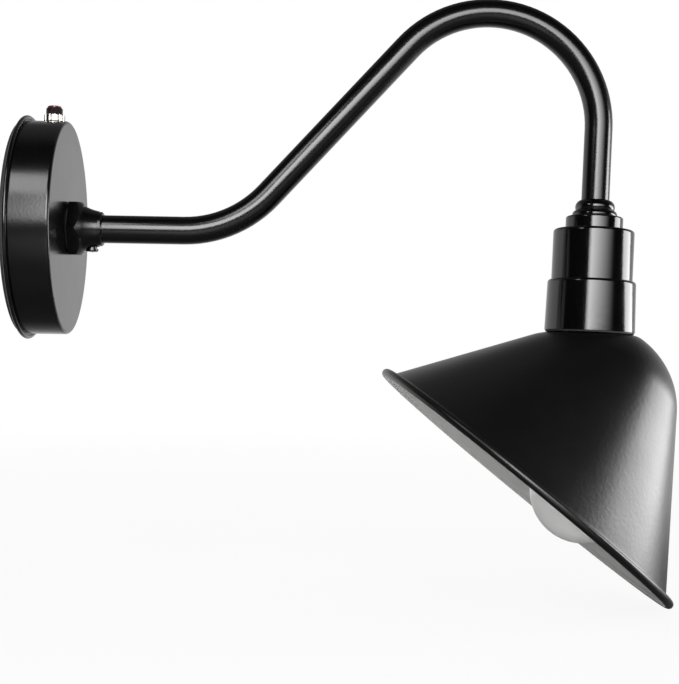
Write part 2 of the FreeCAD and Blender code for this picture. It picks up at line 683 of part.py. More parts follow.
def canopy_cup():
    """Spun cup over the wiring, with holes for the hub, the sensor and the side screws."""
    body = new_body("canopy_cup")
    inside = "cup_radius - cup_wall"
    back = "cup_front - cup_wall"
    hole = "shank_radius + push_fit"
    spin(body, [
        ("plate_front", inside), (back, inside), (back, hole), ("cup_front", hole),
        ("cup_front", "cup_radius - cup_edge", "cup_edge"), ("cup_front - cup_edge", "cup_radius"),
        ("plate_front", "cup_radius")], "H_Axis")
    sensor_hole = draw_circle(sketch_on(body, "XY_Plane"), "sensor_axis", "0", "sensor_radius + push_fit")
    pocket(body, sensor_hole, "cup_radius + cup_edge", against=True)
    side_holes = draw_circle(sketch_on(body, "XY_Plane"), "grub_axis", "0", "grub_radius + push_fit")
    pocket(body, side_holes, "0", both_sides=True, through=True)
    keep(body)


def canopy_side_screws():
    """Two grub screws, flush with the cup, that hold it to the strap's ears."""
    screw = new_body("side_screw")
    top = "cup_radius - cup_wall / 4"
    spin(screw, ring_corners("0", "grub_radius", "cup_radius - grub_length", top), "V_Axis")
    socket = draw_hexagon(sketch_on(screw, "XY_Plane", top), "grub_radius * 0.577", "grub_radius")
    pocket(screw, socket, "socket_depth")
    upright = FreeCAD.Rotation()
    upside_down = FreeCAD.Rotation(FreeCAD.Vector(1, 0, 0), 180)
    keep(copies("canopy_side_screws", screw, [
        (("grub_axis", "0", "0"), turn) for turn in (upright, upside_down)]))


# ---------------------------------------------------------------- light sensor

def sensor_frame(label):
    """Origin on top of the cup, on the sensor's axis."""
    return new_body(label, ("sensor_axis", "0", "cup_radius"))


def sensor_body():
    low = "-cup_wall - sensor_skin_gap"
    edge = "sensor_height - sensor_edge"
    turned_piece("sensor_body", [
        ("0", low + " - sensor_body_length"), ("sensor_body_radius", low + " - sensor_body_length"),
        ("sensor_body_radius", low), ("sensor_radius", low), ("sensor_radius", edge),
        ("sensor_radius - sensor_edge", "sensor_height"), ("0", "sensor_height")],
        "V_Axis", sensor_frame)


def sensor_lens():
    edge = "sensor_height + lens_height / 2"
    top = "sensor_height + lens_height"
    turned_piece("sensor_lens", [
        ("0", "sensor_height"), ("lens_radius", "sensor_height"),
        ("lens_radius", edge, "lens_dome"), ("0", top)], "V_Axis", sensor_frame)


def sensor_seal():
    """Rubber washer whose underside follows the round cup."""
    block = sensor_frame("seal_block")
    inner = "sensor_radius + push_fit"
    spin(block, ring_corners(inner, "seal_radius", "-seal_thick", "seal_thick"), "V_Axis")
    drum = doc.addObject("Part::Cylinder", "seal_former")
    bind(drum, "Radius", "cup_radius")
    bind(drum, "Height", "cup_front")
    drum.Placement.Rotation = FreeCAD.Rotation(FreeCAD.Vector(0, 1, 0), 90)
    seal = doc.addObject("Part::Cut", "sensor_seal")
    seal.Base = block
    seal.Tool = drum
    doc.recompute()
    keep(seal, "sensor_seal")


def sensor_nut():
    """Knurled ring nut on the sensor's barrel."""
    body = sensor_frame("sensor_nut")
    low = "seal_thick"
    top = "seal_thick + nut_height"
    bore = "sensor_radius + push_fit"
    spin(body, [(bore, low), ("nut_radius", low), ("nut_radius", top + " - nut_chamfer"),
                ("nut_radius - nut_chamfer", top), (bore, top)], "V_Axis")
    flute = draw_circle(sketch_on(body, "XY_Plane", low), "nut_radius + nut_flute / 4", "0", "nut_flute")
    cut = pocket(body, flute, "nut_height", against=True)
    around(body, cut, "nut_flutes", "Z_Axis")
    keep(body)


# ---------------------------------------------------------------- hub

def hub_seal():
    inner = "shank_radius + push_fit"
    turned_piece("hub_seal", disc_corners("cup_front", "hub_face", inner, "hub_seal_radius"))


def arm_hub():
    """Cast hub: hexagon, hollow flare and collar outside, threaded shank inside, bored for the arm."""
    body = new_body("arm_hub")
    hexagon = draw_hexagon(sketch_on(body, "YZ_Plane", "hub_face"), "hex_corner", "hub_flats")
    hexagon.AttachmentOffset.Rotation = FreeCAD.Rotation(FreeCAD.Vector(0, 0, 1), size("hex_turn"))
    bind(hexagon, "AttachmentOffset.Rotation.Angle", "hex_turn")
    pad(body, hexagon, "hex_length")
    hex_end = "hub_face + hex_length"
    rim = "hex_corner + hex_chamfer"
    circle = "hub_flats / 2 - hex_land"
    spin(body, [
        (hex_end + " - hex_chamfer", "hex_corner + hex_land"), (hex_end + " - hex_chamfer", rim),
        (hex_end + " + hex_chamfer", rim), (hex_end + " + hex_chamfer", circle), (hex_end, circle)],
        "H_Axis", cut=True)
    flare_end = hex_end + " + flare_length"
    spin(body, [
        ("hub_face", "0"), ("hub_end", "0"), ("hub_end", "collar_radius - collar_chamfer"),
        ("hub_end - collar_chamfer", "collar_radius"), (flare_end, "collar_radius"),
        (flare_end, "flare_end", "-flare_curve"), (hex_end, "flare_start"),
        ("hub_face", "flare_start")], "H_Axis")
    spin(body, disc_corners("shank_end", "hub_face", "0", "shank_radius"), "H_Axis")
    floor = "hub_end - hub_socket"
    spin(body, disc_corners(floor, "hub_end", "0", "arm_radius + running"), "H_Axis", cut=True)
    spin(body, disc_corners("shank_end", floor, "0", "wire_way"), "H_Axis", cut=True)
    screw = "hub_end - set_screw_back"
    screw_hole = draw_circle(sketch_on(body, "XY_Plane"), screw, "0", "set_screw_radius")
    pocket(body, screw_hole, "hub_flats")
    spot_face = draw_circle(sketch_on(body, "XY_Plane", "-set_screw_seat"), screw, "0",
                            "set_screw_head + push_fit * 4")
    pocket(body, spot_face, "set_screw_seat")
    keep(body)


def hub_washer():
    inner = "cup_front - cup_wall"
    turned_piece("hub_washer", disc_corners(inner + " - washer_thick", inner, "shank_radius + push_fit",
                                            "washer_radius"))


def hub_lock_nut():
    body = new_body("hub_lock_nut")
    back = "cup_front - cup_wall - washer_thick - lock_nut_thick"
    sketch = draw_hexagon(sketch_on(body, "YZ_Plane", back), "lock_corner", "lock_nut_flats")
    draw_circle(sketch, "0", "0", "shank_radius + push_fit")
    pad(body, sketch, "lock_nut_thick")
    keep(body)


def hub_set_screw():
    """Socket screw under the collar. Slack, it lets the arm turn in the hub."""
    body = new_body("hub_set_screw", ("hub_end - set_screw_back", "0", "0"))
    tip = "-arm_radius - apart"
    head = "-flare_end - set_screw_proud"
    shank = "set_screw_radius - push_fit"
    spin(body, [
        ("0", head), ("set_screw_head - set_screw_edge", head),
        ("set_screw_head", head + " + set_screw_edge"), ("set_screw_head", "-set_screw_seat"),
        (shank, "-set_screw_seat"), (shank, tip), ("0", tip)], "V_Axis")
    socket = draw_hexagon(sketch_on(body, "XY_Plane", head), "set_screw_radius * 0.577",
                          "set_screw_radius")
    pocket(body, socket, "socket_depth", against=True)
    keep(body)


# ---------------------------------------------------------------- arm

BENDS = [("low_in_x", "0", "low_bend"), ("low_out_x", "low_out_z"),
         ("high_in_x", "high_in_z", "-high_bend"), ("high_out_x", "high_out_z")]


def bent_bar(label, start, end, outer, inner=None):
    """A round tube or bar along the arm's middle line: level run, low bend, rise, crook, drop."""
    body = new_body(label)
    section = draw_circle(sketch_on(body, "YZ_Plane", start), "0", "0", outer)
    if inner:
        draw_circle(section, "0", "0", inner)
    path = draw(sketch_on(body, "XZ_Plane"), [(start, "0")] + BENDS + [end], closed=False)
    pipe = body.newObject("PartDesign::AdditivePipe", label + "_sweep")
    pipe.Profile = section
    pipe.Spine = path
    doc.recompute()
    keep(body)


def gooseneck_arm():
    inner = "arm_radius - arm_wall"
    bent_bar("gooseneck_arm", "arm_start", ("tube_end_x", "tube_end_z"), "arm_radius", inner)


def lamp_lead():
    """Sheathed lead from the hub through the tube to the top of the lampholder."""
    bent_bar("lamp_lead", "hub_face + apart", ("lead_end_x", "lead_end_z"), "lead_radius")


# ---------------------------------------------------------------- neck and cans

def neck_collar():
    """Turned collar with two beads. The tube stands in it and the nipple screws into its floor."""
    thread = "nipple_radius + push_fit"
    bore = "arm_radius + push_fit"
    turned_piece("neck_collar", [
        (thread, "ring_top"), ("low_bead_foot", "ring_top", "low_bead_round"),
        ("low_bead_neck", "low_bead_top"), ("high_bead_foot", "low_bead_top", "high_bead_round"),
        ("high_bead_neck", "neck_top"), (bore, "neck_top"), (bore, "tube_end"), (thread, "tube_end")],
        "V_Axis", socket_body)


def cap_ring():
    hole = "nipple_radius + push_fit"
    turned_piece("cap_ring", [
        (hole, "upper_can_top"), ("ring_radius", "upper_can_top"),
        ("ring_radius", "ring_top - ring_round", "ring_round"), ("ring_radius - ring_round", "ring_top"),
        (hole, "ring_top")], "V_Axis", socket_body)


def can(label, base, top, radius, spread, outer_round, inner_round, hole):
    """A spun can, open below, with a rounded top edge and a round hole in its top."""
    inside = radius + " - can_wall"
    under = top + " - can_wall"
    turned_piece(label, [
        (f"{inside} + {spread}", base), (f"{radius} + {spread}", base),
        (radius, f"{top} - {outer_round}", outer_round),
        (f"{radius} - {outer_round}", top), (hole, top), (hole, under),
        (f"{radius} - {outer_round}", under, "-" + inner_round), (inside, f"{top} - {outer_round}")],
        "V_Axis", socket_body)


def upper_can():
    can("upper_can", "upper_can_base", "upper_can_top", "upper_can_radius", "0", "can_round",
        "can_inner_round", "nipple_radius + push_fit")


def lower_can():
    can("lower_can", "lower_can_base", "lower_can_top", "lower_can_radius", "lower_can_spread",
        "shoulder_round", "shoulder_inner_round", "upper_can_radius + push_fit")


def nipple():
    turned_piece("nipple", ring_corners("nipple_bore", "nipple_radius", "nipple_end", "tube_end"), "V_Axis",
                 socket_body)


def yoke_nut():
    body = socket_body("yoke_nut")
    low = "yoke_top - yoke_thick - jam_nut_thick"
    sketch = draw_hexagon(sketch_on(body, "XY_Plane", low), "jam_corner", "jam_nut_flats")
    draw_circle(sketch, "0", "0", "nipple_radius + push_fit")
    pad(body, sketch, "jam_nut_thick")
    keep(body)


def lampholder_yoke():
    """Bent strap between the nipple and the porcelain."""
    body = socket_body("lampholder_yoke")
    top = "yoke_top"
    under = "yoke_top - yoke_thick"
    foot = "holder_top"
    above = "holder_top + yoke_thick"
    leg = "yoke_half - yoke_thick"
    toe = "yoke_half - yoke_foot"
    outline = draw(sketch_on(body, "XZ_Plane"), [
        ("-yoke_half", top), ("-yoke_half", foot), ("-yoke_half + yoke_foot", foot),
        ("-yoke_half + yoke_foot", above), ("-yoke_half + yoke_thick", above),
        ("-yoke_half + yoke_thick", under), (leg, under), (leg, above), (toe, above), (toe, foot),
        ("yoke_half", foot), ("yoke_half", top)])
    pad(body, outline, "yoke_depth", both_sides=True)
    hole = draw_circle(sketch_on(body, "XY_Plane", top), "0", "0", "nipple_radius + push_fit")
    pocket(body, hole, "yoke_thick")
    for side in ("yoke_screw_out", "-yoke_screw_out"):
        screw_hole = draw_circle(sketch_on(body, "XY_Plane", above), side, "0", "wood_screw_radius")
        pocket(body, screw_hole, "yoke_thick")
    keep(body)


def yoke_screws():
    """Two round-head screws through the yoke's feet into the porcelain."""
    screw = new_body("yoke_screw")
    spin(screw, ring_corners("0", "wood_screw_radius", "-wood_screw_length", "0"), "V_Axis")
    spin(screw, [("0", "0"), ("wood_screw_head", "0"),
                 ("wood_screw_head", "wood_screw_head_thick / 2", "wood_screw_dome"),
                 ("0", "wood_screw_head_thick")], "V_Axis")
    slot = draw(sketch_on(screw, "XY_Plane", "wood_screw_head_thick"), [
        ("wood_screw_head", "wood_screw_radius / 5"), ("-wood_screw_head", "wood_screw_radius / 5"),
        ("-wood_screw_head", "-wood_screw_radius / 5"), ("wood_screw_head", "-wood_screw_radius / 5")])
    pocket(screw, slot, "wood_screw_head_thick / 3")
    level = "holder_top + yoke_thick"
    pair = copies("yoke_screws", screw, [
        ((side, "0", level), FreeCAD.Rotation()) for side in ("yoke_screw_out", "-yoke_screw_out")])
    stand_in_socket(pair)
    keep(pair)


def stand_in_socket(thing):
    """Place a group made round the origin in the lampholder's frame."""
    thing.Placement = FreeCAD.Placement(
        FreeCAD.Vector(size("seat_x"), 0, -size("seat_drop")),
        FreeCAD.Rotation(FreeCAD.Vector(0, 1, 0), size("drop_lean")))
    bind(thing, "Placement.Base.x", "seat_x")
    bind(thing, "Placement.Base.z", "-seat_drop")
    bind(thing, "Placement.Rotation.Angle", "drop_lean")
    doc.recompute()


# ---------------------------------------------------------------- lampholder

def lampholder():
    """Porcelain cup, threaded outside for the clamp ring, with two holes for the yoke screws."""
    body = socket_body("lampholder")
    bore = "shell_radius + push_fit"
    spin(body, [
        ("0", "socket_floor"), (bore, "socket_floor"), (bore, "-holder_drop"),
        ("holder_radius", "-holder_drop"), ("holder_radius", "holder_top"), ("0", "holder_top")], "V_Axis")
    for side in ("yoke_screw_out", "-yoke_screw_out"):
        hole = draw_circle(sketch_on(body, "XY_Plane", "holder_top"), side, "0", "wood_screw_radius")
        pocket(body, hole, "wood_screw_length")
    keep(body)


def screw_shell():
    low = "-holder_drop + shell_wall * 2"
    turned_piece("screw_shell", ring_corners("shell_radius - shell_wall", "shell_radius", low,
                                             "socket_floor"), "V_Axis", socket_body)


def centre_contact():
    """Brass tongue from the socket's floor down to the bulb's end contact."""
    body = socket_body("centre_contact")
    low = "socket_floor - tongue_thick"
    pad_top = "tongue_level + tongue_thick"
    outline = draw(sketch_on(body, "XZ_Plane"), [
        ("-tongue_out", "socket_floor"), ("-tongue_out", low), ("-tongue_step", low),
        ("-tongue_step / 3", "tongue_level"), ("tongue_step", "tongue_level"), ("tongue_step", pad_top),
        ("-tongue_step / 4", pad_top), ("-tongue_step + tongue_thick", "socket_floor")])
    pad(body, outline, "tongue_width", both_sides=True)
    keep(body)


def can_seal():
    turned_piece("can_seal", ring_corners("holder_radius + push_fit", "can_seal_radius", "apart",
                                          "lower_can_base"), "V_Axis", socket_body)


def clamp_ring():
    """Threaded ring inside the shade that clamps it against the lower can."""
    body = socket_body("clamp_ring")
    low = "clamp_top - clamp_height"
    spin(body, ring_corners("holder_radius + push_fit", "clamp_radius", low, "clamp_top"), "V_Axis")
    out = "clamp_radius + clamp_flute / 3"
    notch = draw_circle(sketch_on(body, "XY_Plane", low), out, "0", "clamp_flute")
    cut = pocket(body, notch, "clamp_height", against=True)
    around(body, cut, "clamp_flutes", "Z_Axis")
    keep(body)


# ---------------------------------------------------------------- shade

def shade_former(label, radius, end_radius, end_height, nose, seat):
    """The shade filled solid: cone and round nose, cut flat where it seats."""
    body = shade_body(label)
    spin(body, [("0", "0"), (radius, "0"), (end_radius, end_height, nose), ("0", "nose_centre + " + nose)],
         "V_Axis")
    above = doc.addObject("Part::Cylinder", label + "_above_seat")
    bind(above, "Radius", "nose_radius")
    bind(above, "Height", "nose_radius")
    cut = doc.addObject("Part::Cut", label + "_flat")
    cut.Base = body
    cut.Tool = lifted(above, seat)
    return cut


def lifted(thing, level):
    """Stand a primitive in the lampholder's frame, raised by a named level."""
    sunk = doc.addObject("Part::Compound", thing.Name + "_level")
    bind(thing, "Placement.Base.z", level)
    sunk.Links = [thing]
    stand_in_socket(sunk)
    return sunk


def shade():
    """Spun shade with a rolled lip, a flat seat on its flank and a hole for the lampholder."""
    outer = shade_former("shade_outside", "mouth_radius", "cone_end_radius", "cone_end_height",
                         "nose_radius", "0")
    inner = shade_former("shade_inside", "inner_mouth", "inner_end_radius", "inner_end_height",
                         "inner_nose", "-seat_wall")
    shell = doc.addObject("Part::Cut", "shade_shell")
    shell.Base = outer
    shell.Tool = inner
    lip = shade_body("shade_lip")
    sketch = draw_circle(sketch_on(lip, "XZ_Plane"), "mouth_radius + lip_out", "lip_rise",
                         "lip_radius")
    rolled = lip.newObject("PartDesign::Revolution", "rolled_lip")
    rolled.Profile = sketch
    rolled.ReferenceAxis = (sketch, ["V_Axis"])
    rolled.Angle = 360
    rimmed = doc.addObject("Part::Fuse", "shade_with_lip")
    rimmed.Base = shell
    rimmed.Tool = lip
    hole = doc.addObject("Part::Cylinder", "lampholder_hole")
    bind(hole, "Radius", "holder_radius + running")
    bind(hole, "Height", "clamp_radius")
    finished = doc.addObject("Part::Cut", "shade")
    finished.Base = rimmed
    finished.Tool = lifted(hole, "-clamp_radius / 2")
    doc.recompute()
    keep(finished, "shade")


# ---------------------------------------------------------------- bulb

def bulb_cap():
    """Metal cap with rounded screw ridges, closed in at its top."""
    body = socket_body("bulb_cap")
    trough = "cap_radius - thread_depth"
    inside = "cap_radius - thread_depth - cap_wall"
    ridges = int((size("cap_length") - size("cap_skirt") - size("cap_shoulder")) / size("thread_pitch"))
    outline = [(inside, "cap_base"), ("cap_radius", "cap_base"), ("cap_radius", "cap_base + cap_skirt / 2")]
    for ridge in range(ridges):
        level = f"cap_base + cap_skirt + {ridge} * thread_pitch"
        outline += [(trough, level), ("cap_radius", level + " + thread_pitch / 3", "thread_pitch / 2"),
                    ("cap_radius", level + " + thread_pitch * 0.667")]
    outline += [(trough, "cap_top - cap_shoulder"), ("cap_mouth", "cap_top"),
                ("cap_mouth", "cap_top - cap_wall"), (inside, "cap_top - cap_shoulder - cap_wall")]
    spin(body, outline, "V_Axis")
    keep(body)


def bulb_insulator():
    base = "cap_top + running"
    turned_piece("bulb_insulator", [
        ("0", base), ("cap_mouth + cap_wall", base), ("contact_radius", base + " + insulator_height"),
        ("0", base + " + insulator_height")], "V_Axis", socket_body)


def bulb_contact():
    base = "cap_top + running + insulator_height"
    turned_piece("bulb_contact", [
        ("0", base), ("contact_radius", base), ("contact_radius", base + " + contact_height / 2",
                                                "contact_dome"),
        ("0", base + " + contact_height")], "V_Axis", socket_body)


def bulb_glass():
    """Blown glass: a straight neck, a cone and a round end, hollow."""
    turned_piece("bulb_glass", [
        ("inner_neck", "cap_base"), ("inner_neck", "glass_top"),
        ("inner_wide", "inner_low", "-inner_glass"), ("0", "-glass_centre - inner_glass"),
        ("0", "-glass_centre - glass_radius", "glass_radius"),
        ("glass_wide", "glass_low"), ("glass_neck", "glass_top"), ("glass_neck", "cap_base")],
        "V_Axis", socket_body)


def bulb_stem():
    """Glass stem sealed into the neck, with the thin post below it."""
    turned_piece("bulb_stem", [
        ("0", "filament_low"), ("post_radius", "filament_low"), ("post_radius", "filament_top"),
        ("stem_radius", "filament_top"), ("stem_radius", "cap_base - stem_flare"),
        ("inner_neck", "cap_base"), ("0", "cap_base")], "V_Axis", socket_body)


def strips():
    """The angle of each light strip round the bulb's axis."""
    count = int(size("filament_count"))
    return [360.0 * number / count + 45 for number in range(count)]


def light_strips():
    """Upright light strips in a ring round the post."""
    rod = doc.addObject("Part::Cylinder", "strip")
    bind(rod, "Radius", "filament_radius")
    bind(rod, "Height", "filament_length")
    bind(rod, "Placement.Base.x", "filament_circle")
    bind(rod, "Placement.Base.z", "filament_low")
    ring = copies("light_strips", rod, [(("0", "0", "0"), FreeCAD.Rotation(FreeCAD.Vector(0, 0, 1), angle))
                                        for angle in strips()])
    stand_in_socket(ring)
    keep(ring)


def support_wires():
    """Thin wires from the stem and the post out to both ends of every strip."""
    reach = "filament_circle - filament_radius"
    spokes = []
    for name, level, start in (("high", "filament_top - wire_thin", "post_radius"),
                               ("low", "filament_low + wire_thin", "post_radius")):
        spoke = doc.addObject("Part::Cylinder", "spoke_" + name)
        bind(spoke, "Radius", "wire_thin")
        bind(spoke, "Height", f"{reach} - {start}")
        spoke.Placement.Rotation = FreeCAD.Rotation(FreeCAD.Vector(0, 1, 0), 90)
        bind(spoke, "Placement.Base.x", start)
        bind(spoke, "Placement.Base.z", level)
        spokes.append(spoke)
    pair = doc.addObject("Part::Compound", "spoke_pair")
    pair.Links = spokes
    middle = ("0", "0", "0")
    ring = copies("support_wires", pair, [
        (middle, FreeCAD.Rotation(FreeCAD.Vector(0, 0, 1), angle)) for angle in strips()])
    stand_in_socket(ring)
    keep(ring)


# ---------------------------------------------------------------- wiring in the canopy

def point(across, along, up):
    return FreeCAD.Vector(amount(across), amount(along), amount(up))


def free_form(label, shapes):
    """Wires whose routes are bends in space, grouped under one label."""
    feature = doc.addObject("Part::Feature", label)
    feature.Shape = Part.makeCompound(shapes)
    feature.Placement = FreeCAD.Placement()
    keep(feature, label)


def canopy_lead():
    """End of the sheathed lead, inside the hub's shank."""
    body = new_body("canopy_lead")
    section = draw_circle(sketch_on(body, "YZ_Plane", "shank_end"), "0", "0", "lead_radius")
    pad(body, section, "shank_length")
    keep(body)


def wire_connectors():
    """Three twist-on connectors with their mouths up."""
    piece = new_body("connector")
    deep = "-connector_deep"
    spin(piece, [
        ("0", deep), ("connector_mouth", deep), ("connector_mouth", "0"), ("connector_radius", "0"),
        ("connector_radius", "-connector_length / 2"), ("connector_radius * 0.75", "-connector_length"),
        ("0", "-connector_length")], "V_Axis")
    keep(copies("wire_connectors", piece, [
        (("connector_axis", side, "-connector_drop"), FreeCAD.Rotation())
        for side in ("-connector_side", "0", "connector_side")]))


def canopy_wires():
    """Two wires from the end of the sheathed lead and three from the sensor, down to the connectors."""
    radius = size("wire_radius")
    bend = size("wire_bend")
    sensor_low = "cup_radius - cup_wall - sensor_skin_gap - sensor_body_length"
    turn_down = "shank_end - wire_bend / 2"
    mouth = "connector_length / 4 - connector_drop"
    bottom = "-connector_drop - connector_deep"
    shapes = []
    for side, to in (("-wire_apart", "0"), ("wire_apart", "connector_side")):
        across = "connector_axis + wire_apart"
        shapes.append(tube_along(route([
            point("shank_end", side, "0"), point(turn_down, side, "0"),
            point(turn_down, to, "-shank_radius"), point(across, to, mouth),
            point(across, to, bottom)], bend), radius))
    for leave, beside, to in (("-sensor_body_radius / 2", "-connector_side", "-connector_side"),
                              ("0", "lock_corner", "0"),
                              ("sensor_body_radius / 2", "connector_side", "connector_side")):
        across = "connector_axis - wire_apart"
        shapes.append(tube_along(route([
            point("sensor_axis", leave, sensor_low),
            point("sensor_axis", leave, sensor_low + " - wire_bend / 2"),
            point("connector_axis", beside, "lock_corner"),
            point("connector_axis", beside, "-lock_corner"), point(across, to, mouth),
            point(across, to, bottom)], bend), radius))
    free_form("canopy_wires", shapes)


def check_document():
    """Stop if any object of the document failed or any sub-part has no valid shape."""
    doc.recompute()
    for item in doc.Objects:
        if {"Invalid", "Error"} & set(item.State):
            raise RuntimeError(f"{item.Name} failed: {item.State}")
    labels = [item.Label for item in SUBPARTS]
    if len(labels) != len(set(labels)):
        raise RuntimeError("two sub-parts share a label")
    for item in SUBPARTS:
        if item.Shape.isNull() or not item.Shape.isValid() or not item.Shape.Solids:
            raise RuntimeError(item.Label + " has no valid solid")


def main():
    wall_gasket()
    back_plate()
    mounting_strap()
    strap_rivets()
    ground_screw()
    canopy_cup()
    canopy_side_screws()
    sensor_body()
    sensor_lens()
    sensor_seal()
    sensor_nut()
    hub_seal()
    arm_hub()
    hub_washer()
    hub_lock_nut()
    hub_set_screw()
    gooseneck_arm()
    lamp_lead()
    neck_collar()
    cap_ring()
    upper_can()
    lower_can()
    nipple()
    yoke_nut()
    lampholder_yoke()
    yoke_screws()
    lampholder()
    screw_shell()
    centre_contact()
    can_seal()
    clamp_ring()
    shade()
    bulb_cap()
    bulb_insulator()
    bulb_contact()
    bulb_glass()
    bulb_stem()
    light_strips()
    support_wires()
    canopy_lead()
    wire_connectors()
    canopy_wires()
    check_document()
    os.makedirs("parts", exist_ok=True)
    for item in SUBPARTS:
        item.Shape.exportStep(f"parts/{item.Label}.step")
        box = item.Shape.BoundBox
        print(f"{item.Label}: {len(item.Shape.Solids)} solids, {item.Shape.Volume:.1f} mm3, "
              f"X {box.XMin:.1f} to {box.XMax:.1f}, Z {box.ZMin:.1f} to {box.ZMax:.1f}")


main()
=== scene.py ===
import math

import bmesh
import bpy
from bpy.props import FloatProperty, FloatVectorProperty, IntProperty, PointerProperty
from bpy.types import Operator, Panel, PropertyGroup
from mathutils import Matrix, Vector


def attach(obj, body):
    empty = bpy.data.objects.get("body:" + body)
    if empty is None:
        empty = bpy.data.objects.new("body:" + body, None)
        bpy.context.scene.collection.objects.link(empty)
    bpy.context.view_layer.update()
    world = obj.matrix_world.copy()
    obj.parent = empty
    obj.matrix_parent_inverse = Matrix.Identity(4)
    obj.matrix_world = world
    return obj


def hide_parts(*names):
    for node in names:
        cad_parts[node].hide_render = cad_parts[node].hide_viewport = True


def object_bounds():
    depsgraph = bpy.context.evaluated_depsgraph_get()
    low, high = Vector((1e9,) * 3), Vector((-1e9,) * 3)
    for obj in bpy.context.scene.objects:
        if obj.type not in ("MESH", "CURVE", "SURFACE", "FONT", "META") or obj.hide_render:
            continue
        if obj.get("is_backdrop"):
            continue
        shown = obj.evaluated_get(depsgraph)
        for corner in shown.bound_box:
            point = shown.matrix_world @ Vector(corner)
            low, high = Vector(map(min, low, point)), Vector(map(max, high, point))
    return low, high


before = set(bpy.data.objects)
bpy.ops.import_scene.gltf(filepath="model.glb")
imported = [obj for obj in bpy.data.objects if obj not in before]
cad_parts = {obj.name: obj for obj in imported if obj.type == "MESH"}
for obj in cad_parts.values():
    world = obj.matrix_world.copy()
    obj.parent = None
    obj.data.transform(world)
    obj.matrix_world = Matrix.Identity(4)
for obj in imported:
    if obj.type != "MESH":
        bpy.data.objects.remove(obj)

bl_info = {
    "name": "Gooseneck Wall Sconce",
    "version": (1, 0, 0),
    "blender": (4, 5, 0),
    "location": "3D View > Sidebar > Sconce",
    "description": "Finishes, shade and stage of a gooseneck wall sconce, round its CAD model",
    "category": "Object",
}

# X out of the wall, Z up, Y along the wall. Metres.

NOSE_STEPS = 40
FLANK_STEPS = 60
LIP_STEPS = 32
LIP_START = math.radians(160)
LINING_START = -1.7
DRILL_DEPTH = 0.012
FLOOR_HALF = 9.0
FLOOR_X = 0.2

# name, place, target, width and height, watts, roll in degrees
SOFTBOXES = (
    ("front", (0.935, -1.6, 0.475), (0.935, 0, 0.475), (2.53, 0.85), 63.0, 0.0),
    ("right", (1.42, 0.19, 0.023), (0.36, -0.06, -0.13), (0.88, 0.38), 7.2, -34.6),
    ("above_canopy", (-0.07, -0.37, 0.289), (0, -0.065, 0), (0.13, 0.17), 0.3, 0.0),
)
# lamp: strength at its left edge, where it is full, how fast it falls to the right
FADES = {"front": (0.5, 0.08, 1.7)}


# ---------------------------------------------------------------- settings

def length(name, description, default):
    return FloatProperty(name=name, description=description, default=default, min=0.0, unit="LENGTH")


def angle(name, description, default):
    return FloatProperty(name=name, description=description, default=math.radians(default), unit="ROTATION")


def colour(name, description, default):
    return FloatVectorProperty(name=name, description=description, default=default, size=3, subtype="COLOR",
                               min=0.0, max=1.0)


def share(name, description, default):
    return FloatProperty(name=name, description=description, default=default, min=0.0, max=1.0,
                         subtype="FACTOR")


class ShadeSizes(PropertyGroup):
    """The shade's form, in its own frame: middle of the mouth, axis up to the nose."""
    tilt: angle("Tilt", "How far the mouth tips down away from the wall", 38.84)
    cone: angle("Cone", "Between the cone and the shade's axis", 34.26)
    lean: angle("Socket lean", "The socket axis leans back to the wall", 2.0)
    mouth_radius: length("Mouth", "Radius of the cone at the mouth", 0.10765)
    nose_radius: length("Nose", "Radius of the rounded nose", 0.05282)
    wall: length("Wall", "Spun sheet", 0.001)
    lip_radius: length("Lip", "Radius of the rolled lip", 0.00255)
    lip_out: length("Lip offset", "Middle of the lip outside the cone", 0.00195)
    lip_rise: length("Lip height", "Middle of the lip above the mouth", 0.0007)
    seat_wall: length("Seat", "Sheet at the flat seat", 0.0012)
    seat_side: length("Seat offset", "Middle of the flat seat from the shade's axis", 0.028619)
    seat_height: length("Seat height", "Middle of the flat seat above the mouth", 0.099584)
    seat_x: length("Seat reach", "Middle of the flat seat from the wall", 0.349033)
    seat_drop: length("Seat drop", "Middle of the flat seat below the hub axis", 0.0592)
    hole: length("Hole", "Radius of the hole for the lampholder", 0.0191)
    crease: length("Crease", "Rounding where the flat seat meets the flank", 0.0022)
    steps: IntProperty(name="Steps", description="Steps round the shade", default=320, min=24, max=720)


class Finishes(PropertyGroup):
    """Colours and gloss of the finishes."""
    enamel: colour("Enamel", "Black enamel of canopy, arm, cans and shade", (0.001, 0.001, 0.0011))
    enamel_rough: share("Enamel roughness", "Black enamel of the canopy and the arm", 0.2)
    shade_rough: share("Shade roughness", "Satin black enamel of the shade", 0.33)
    gloss_rough: share("Gloss roughness", "Gloss black enamel of the cans and the neck", 0.13)
    enamel_ior: FloatProperty(name="Enamel IOR", description="Refraction of the enamel's clear film", default=1.7,
                              min=1.0, max=3.0)
    lining: colour("Lining", "Pale enamel inside the shade", (0.6, 0.6, 0.59))
    nickel: colour("Nickel", "Bright nut of the light sensor", (0.74, 0.72, 0.68))
    zinc: colour("Zinc", "Plated steel hardware", (0.55, 0.55, 0.53))
    brass: colour("Brass", "Screw shell, nipple and contacts", (0.72, 0.53, 0.24))
    pearl: colour("Pearl", "Frosted glass of the bulb", (0.93, 0.93, 0.92))
    porcelain: colour("Porcelain", "Glazed lampholder", (0.84, 0.83, 0.78))
    floor: colour("Floor", "Pale floor", (0.9, 0.9, 0.9))


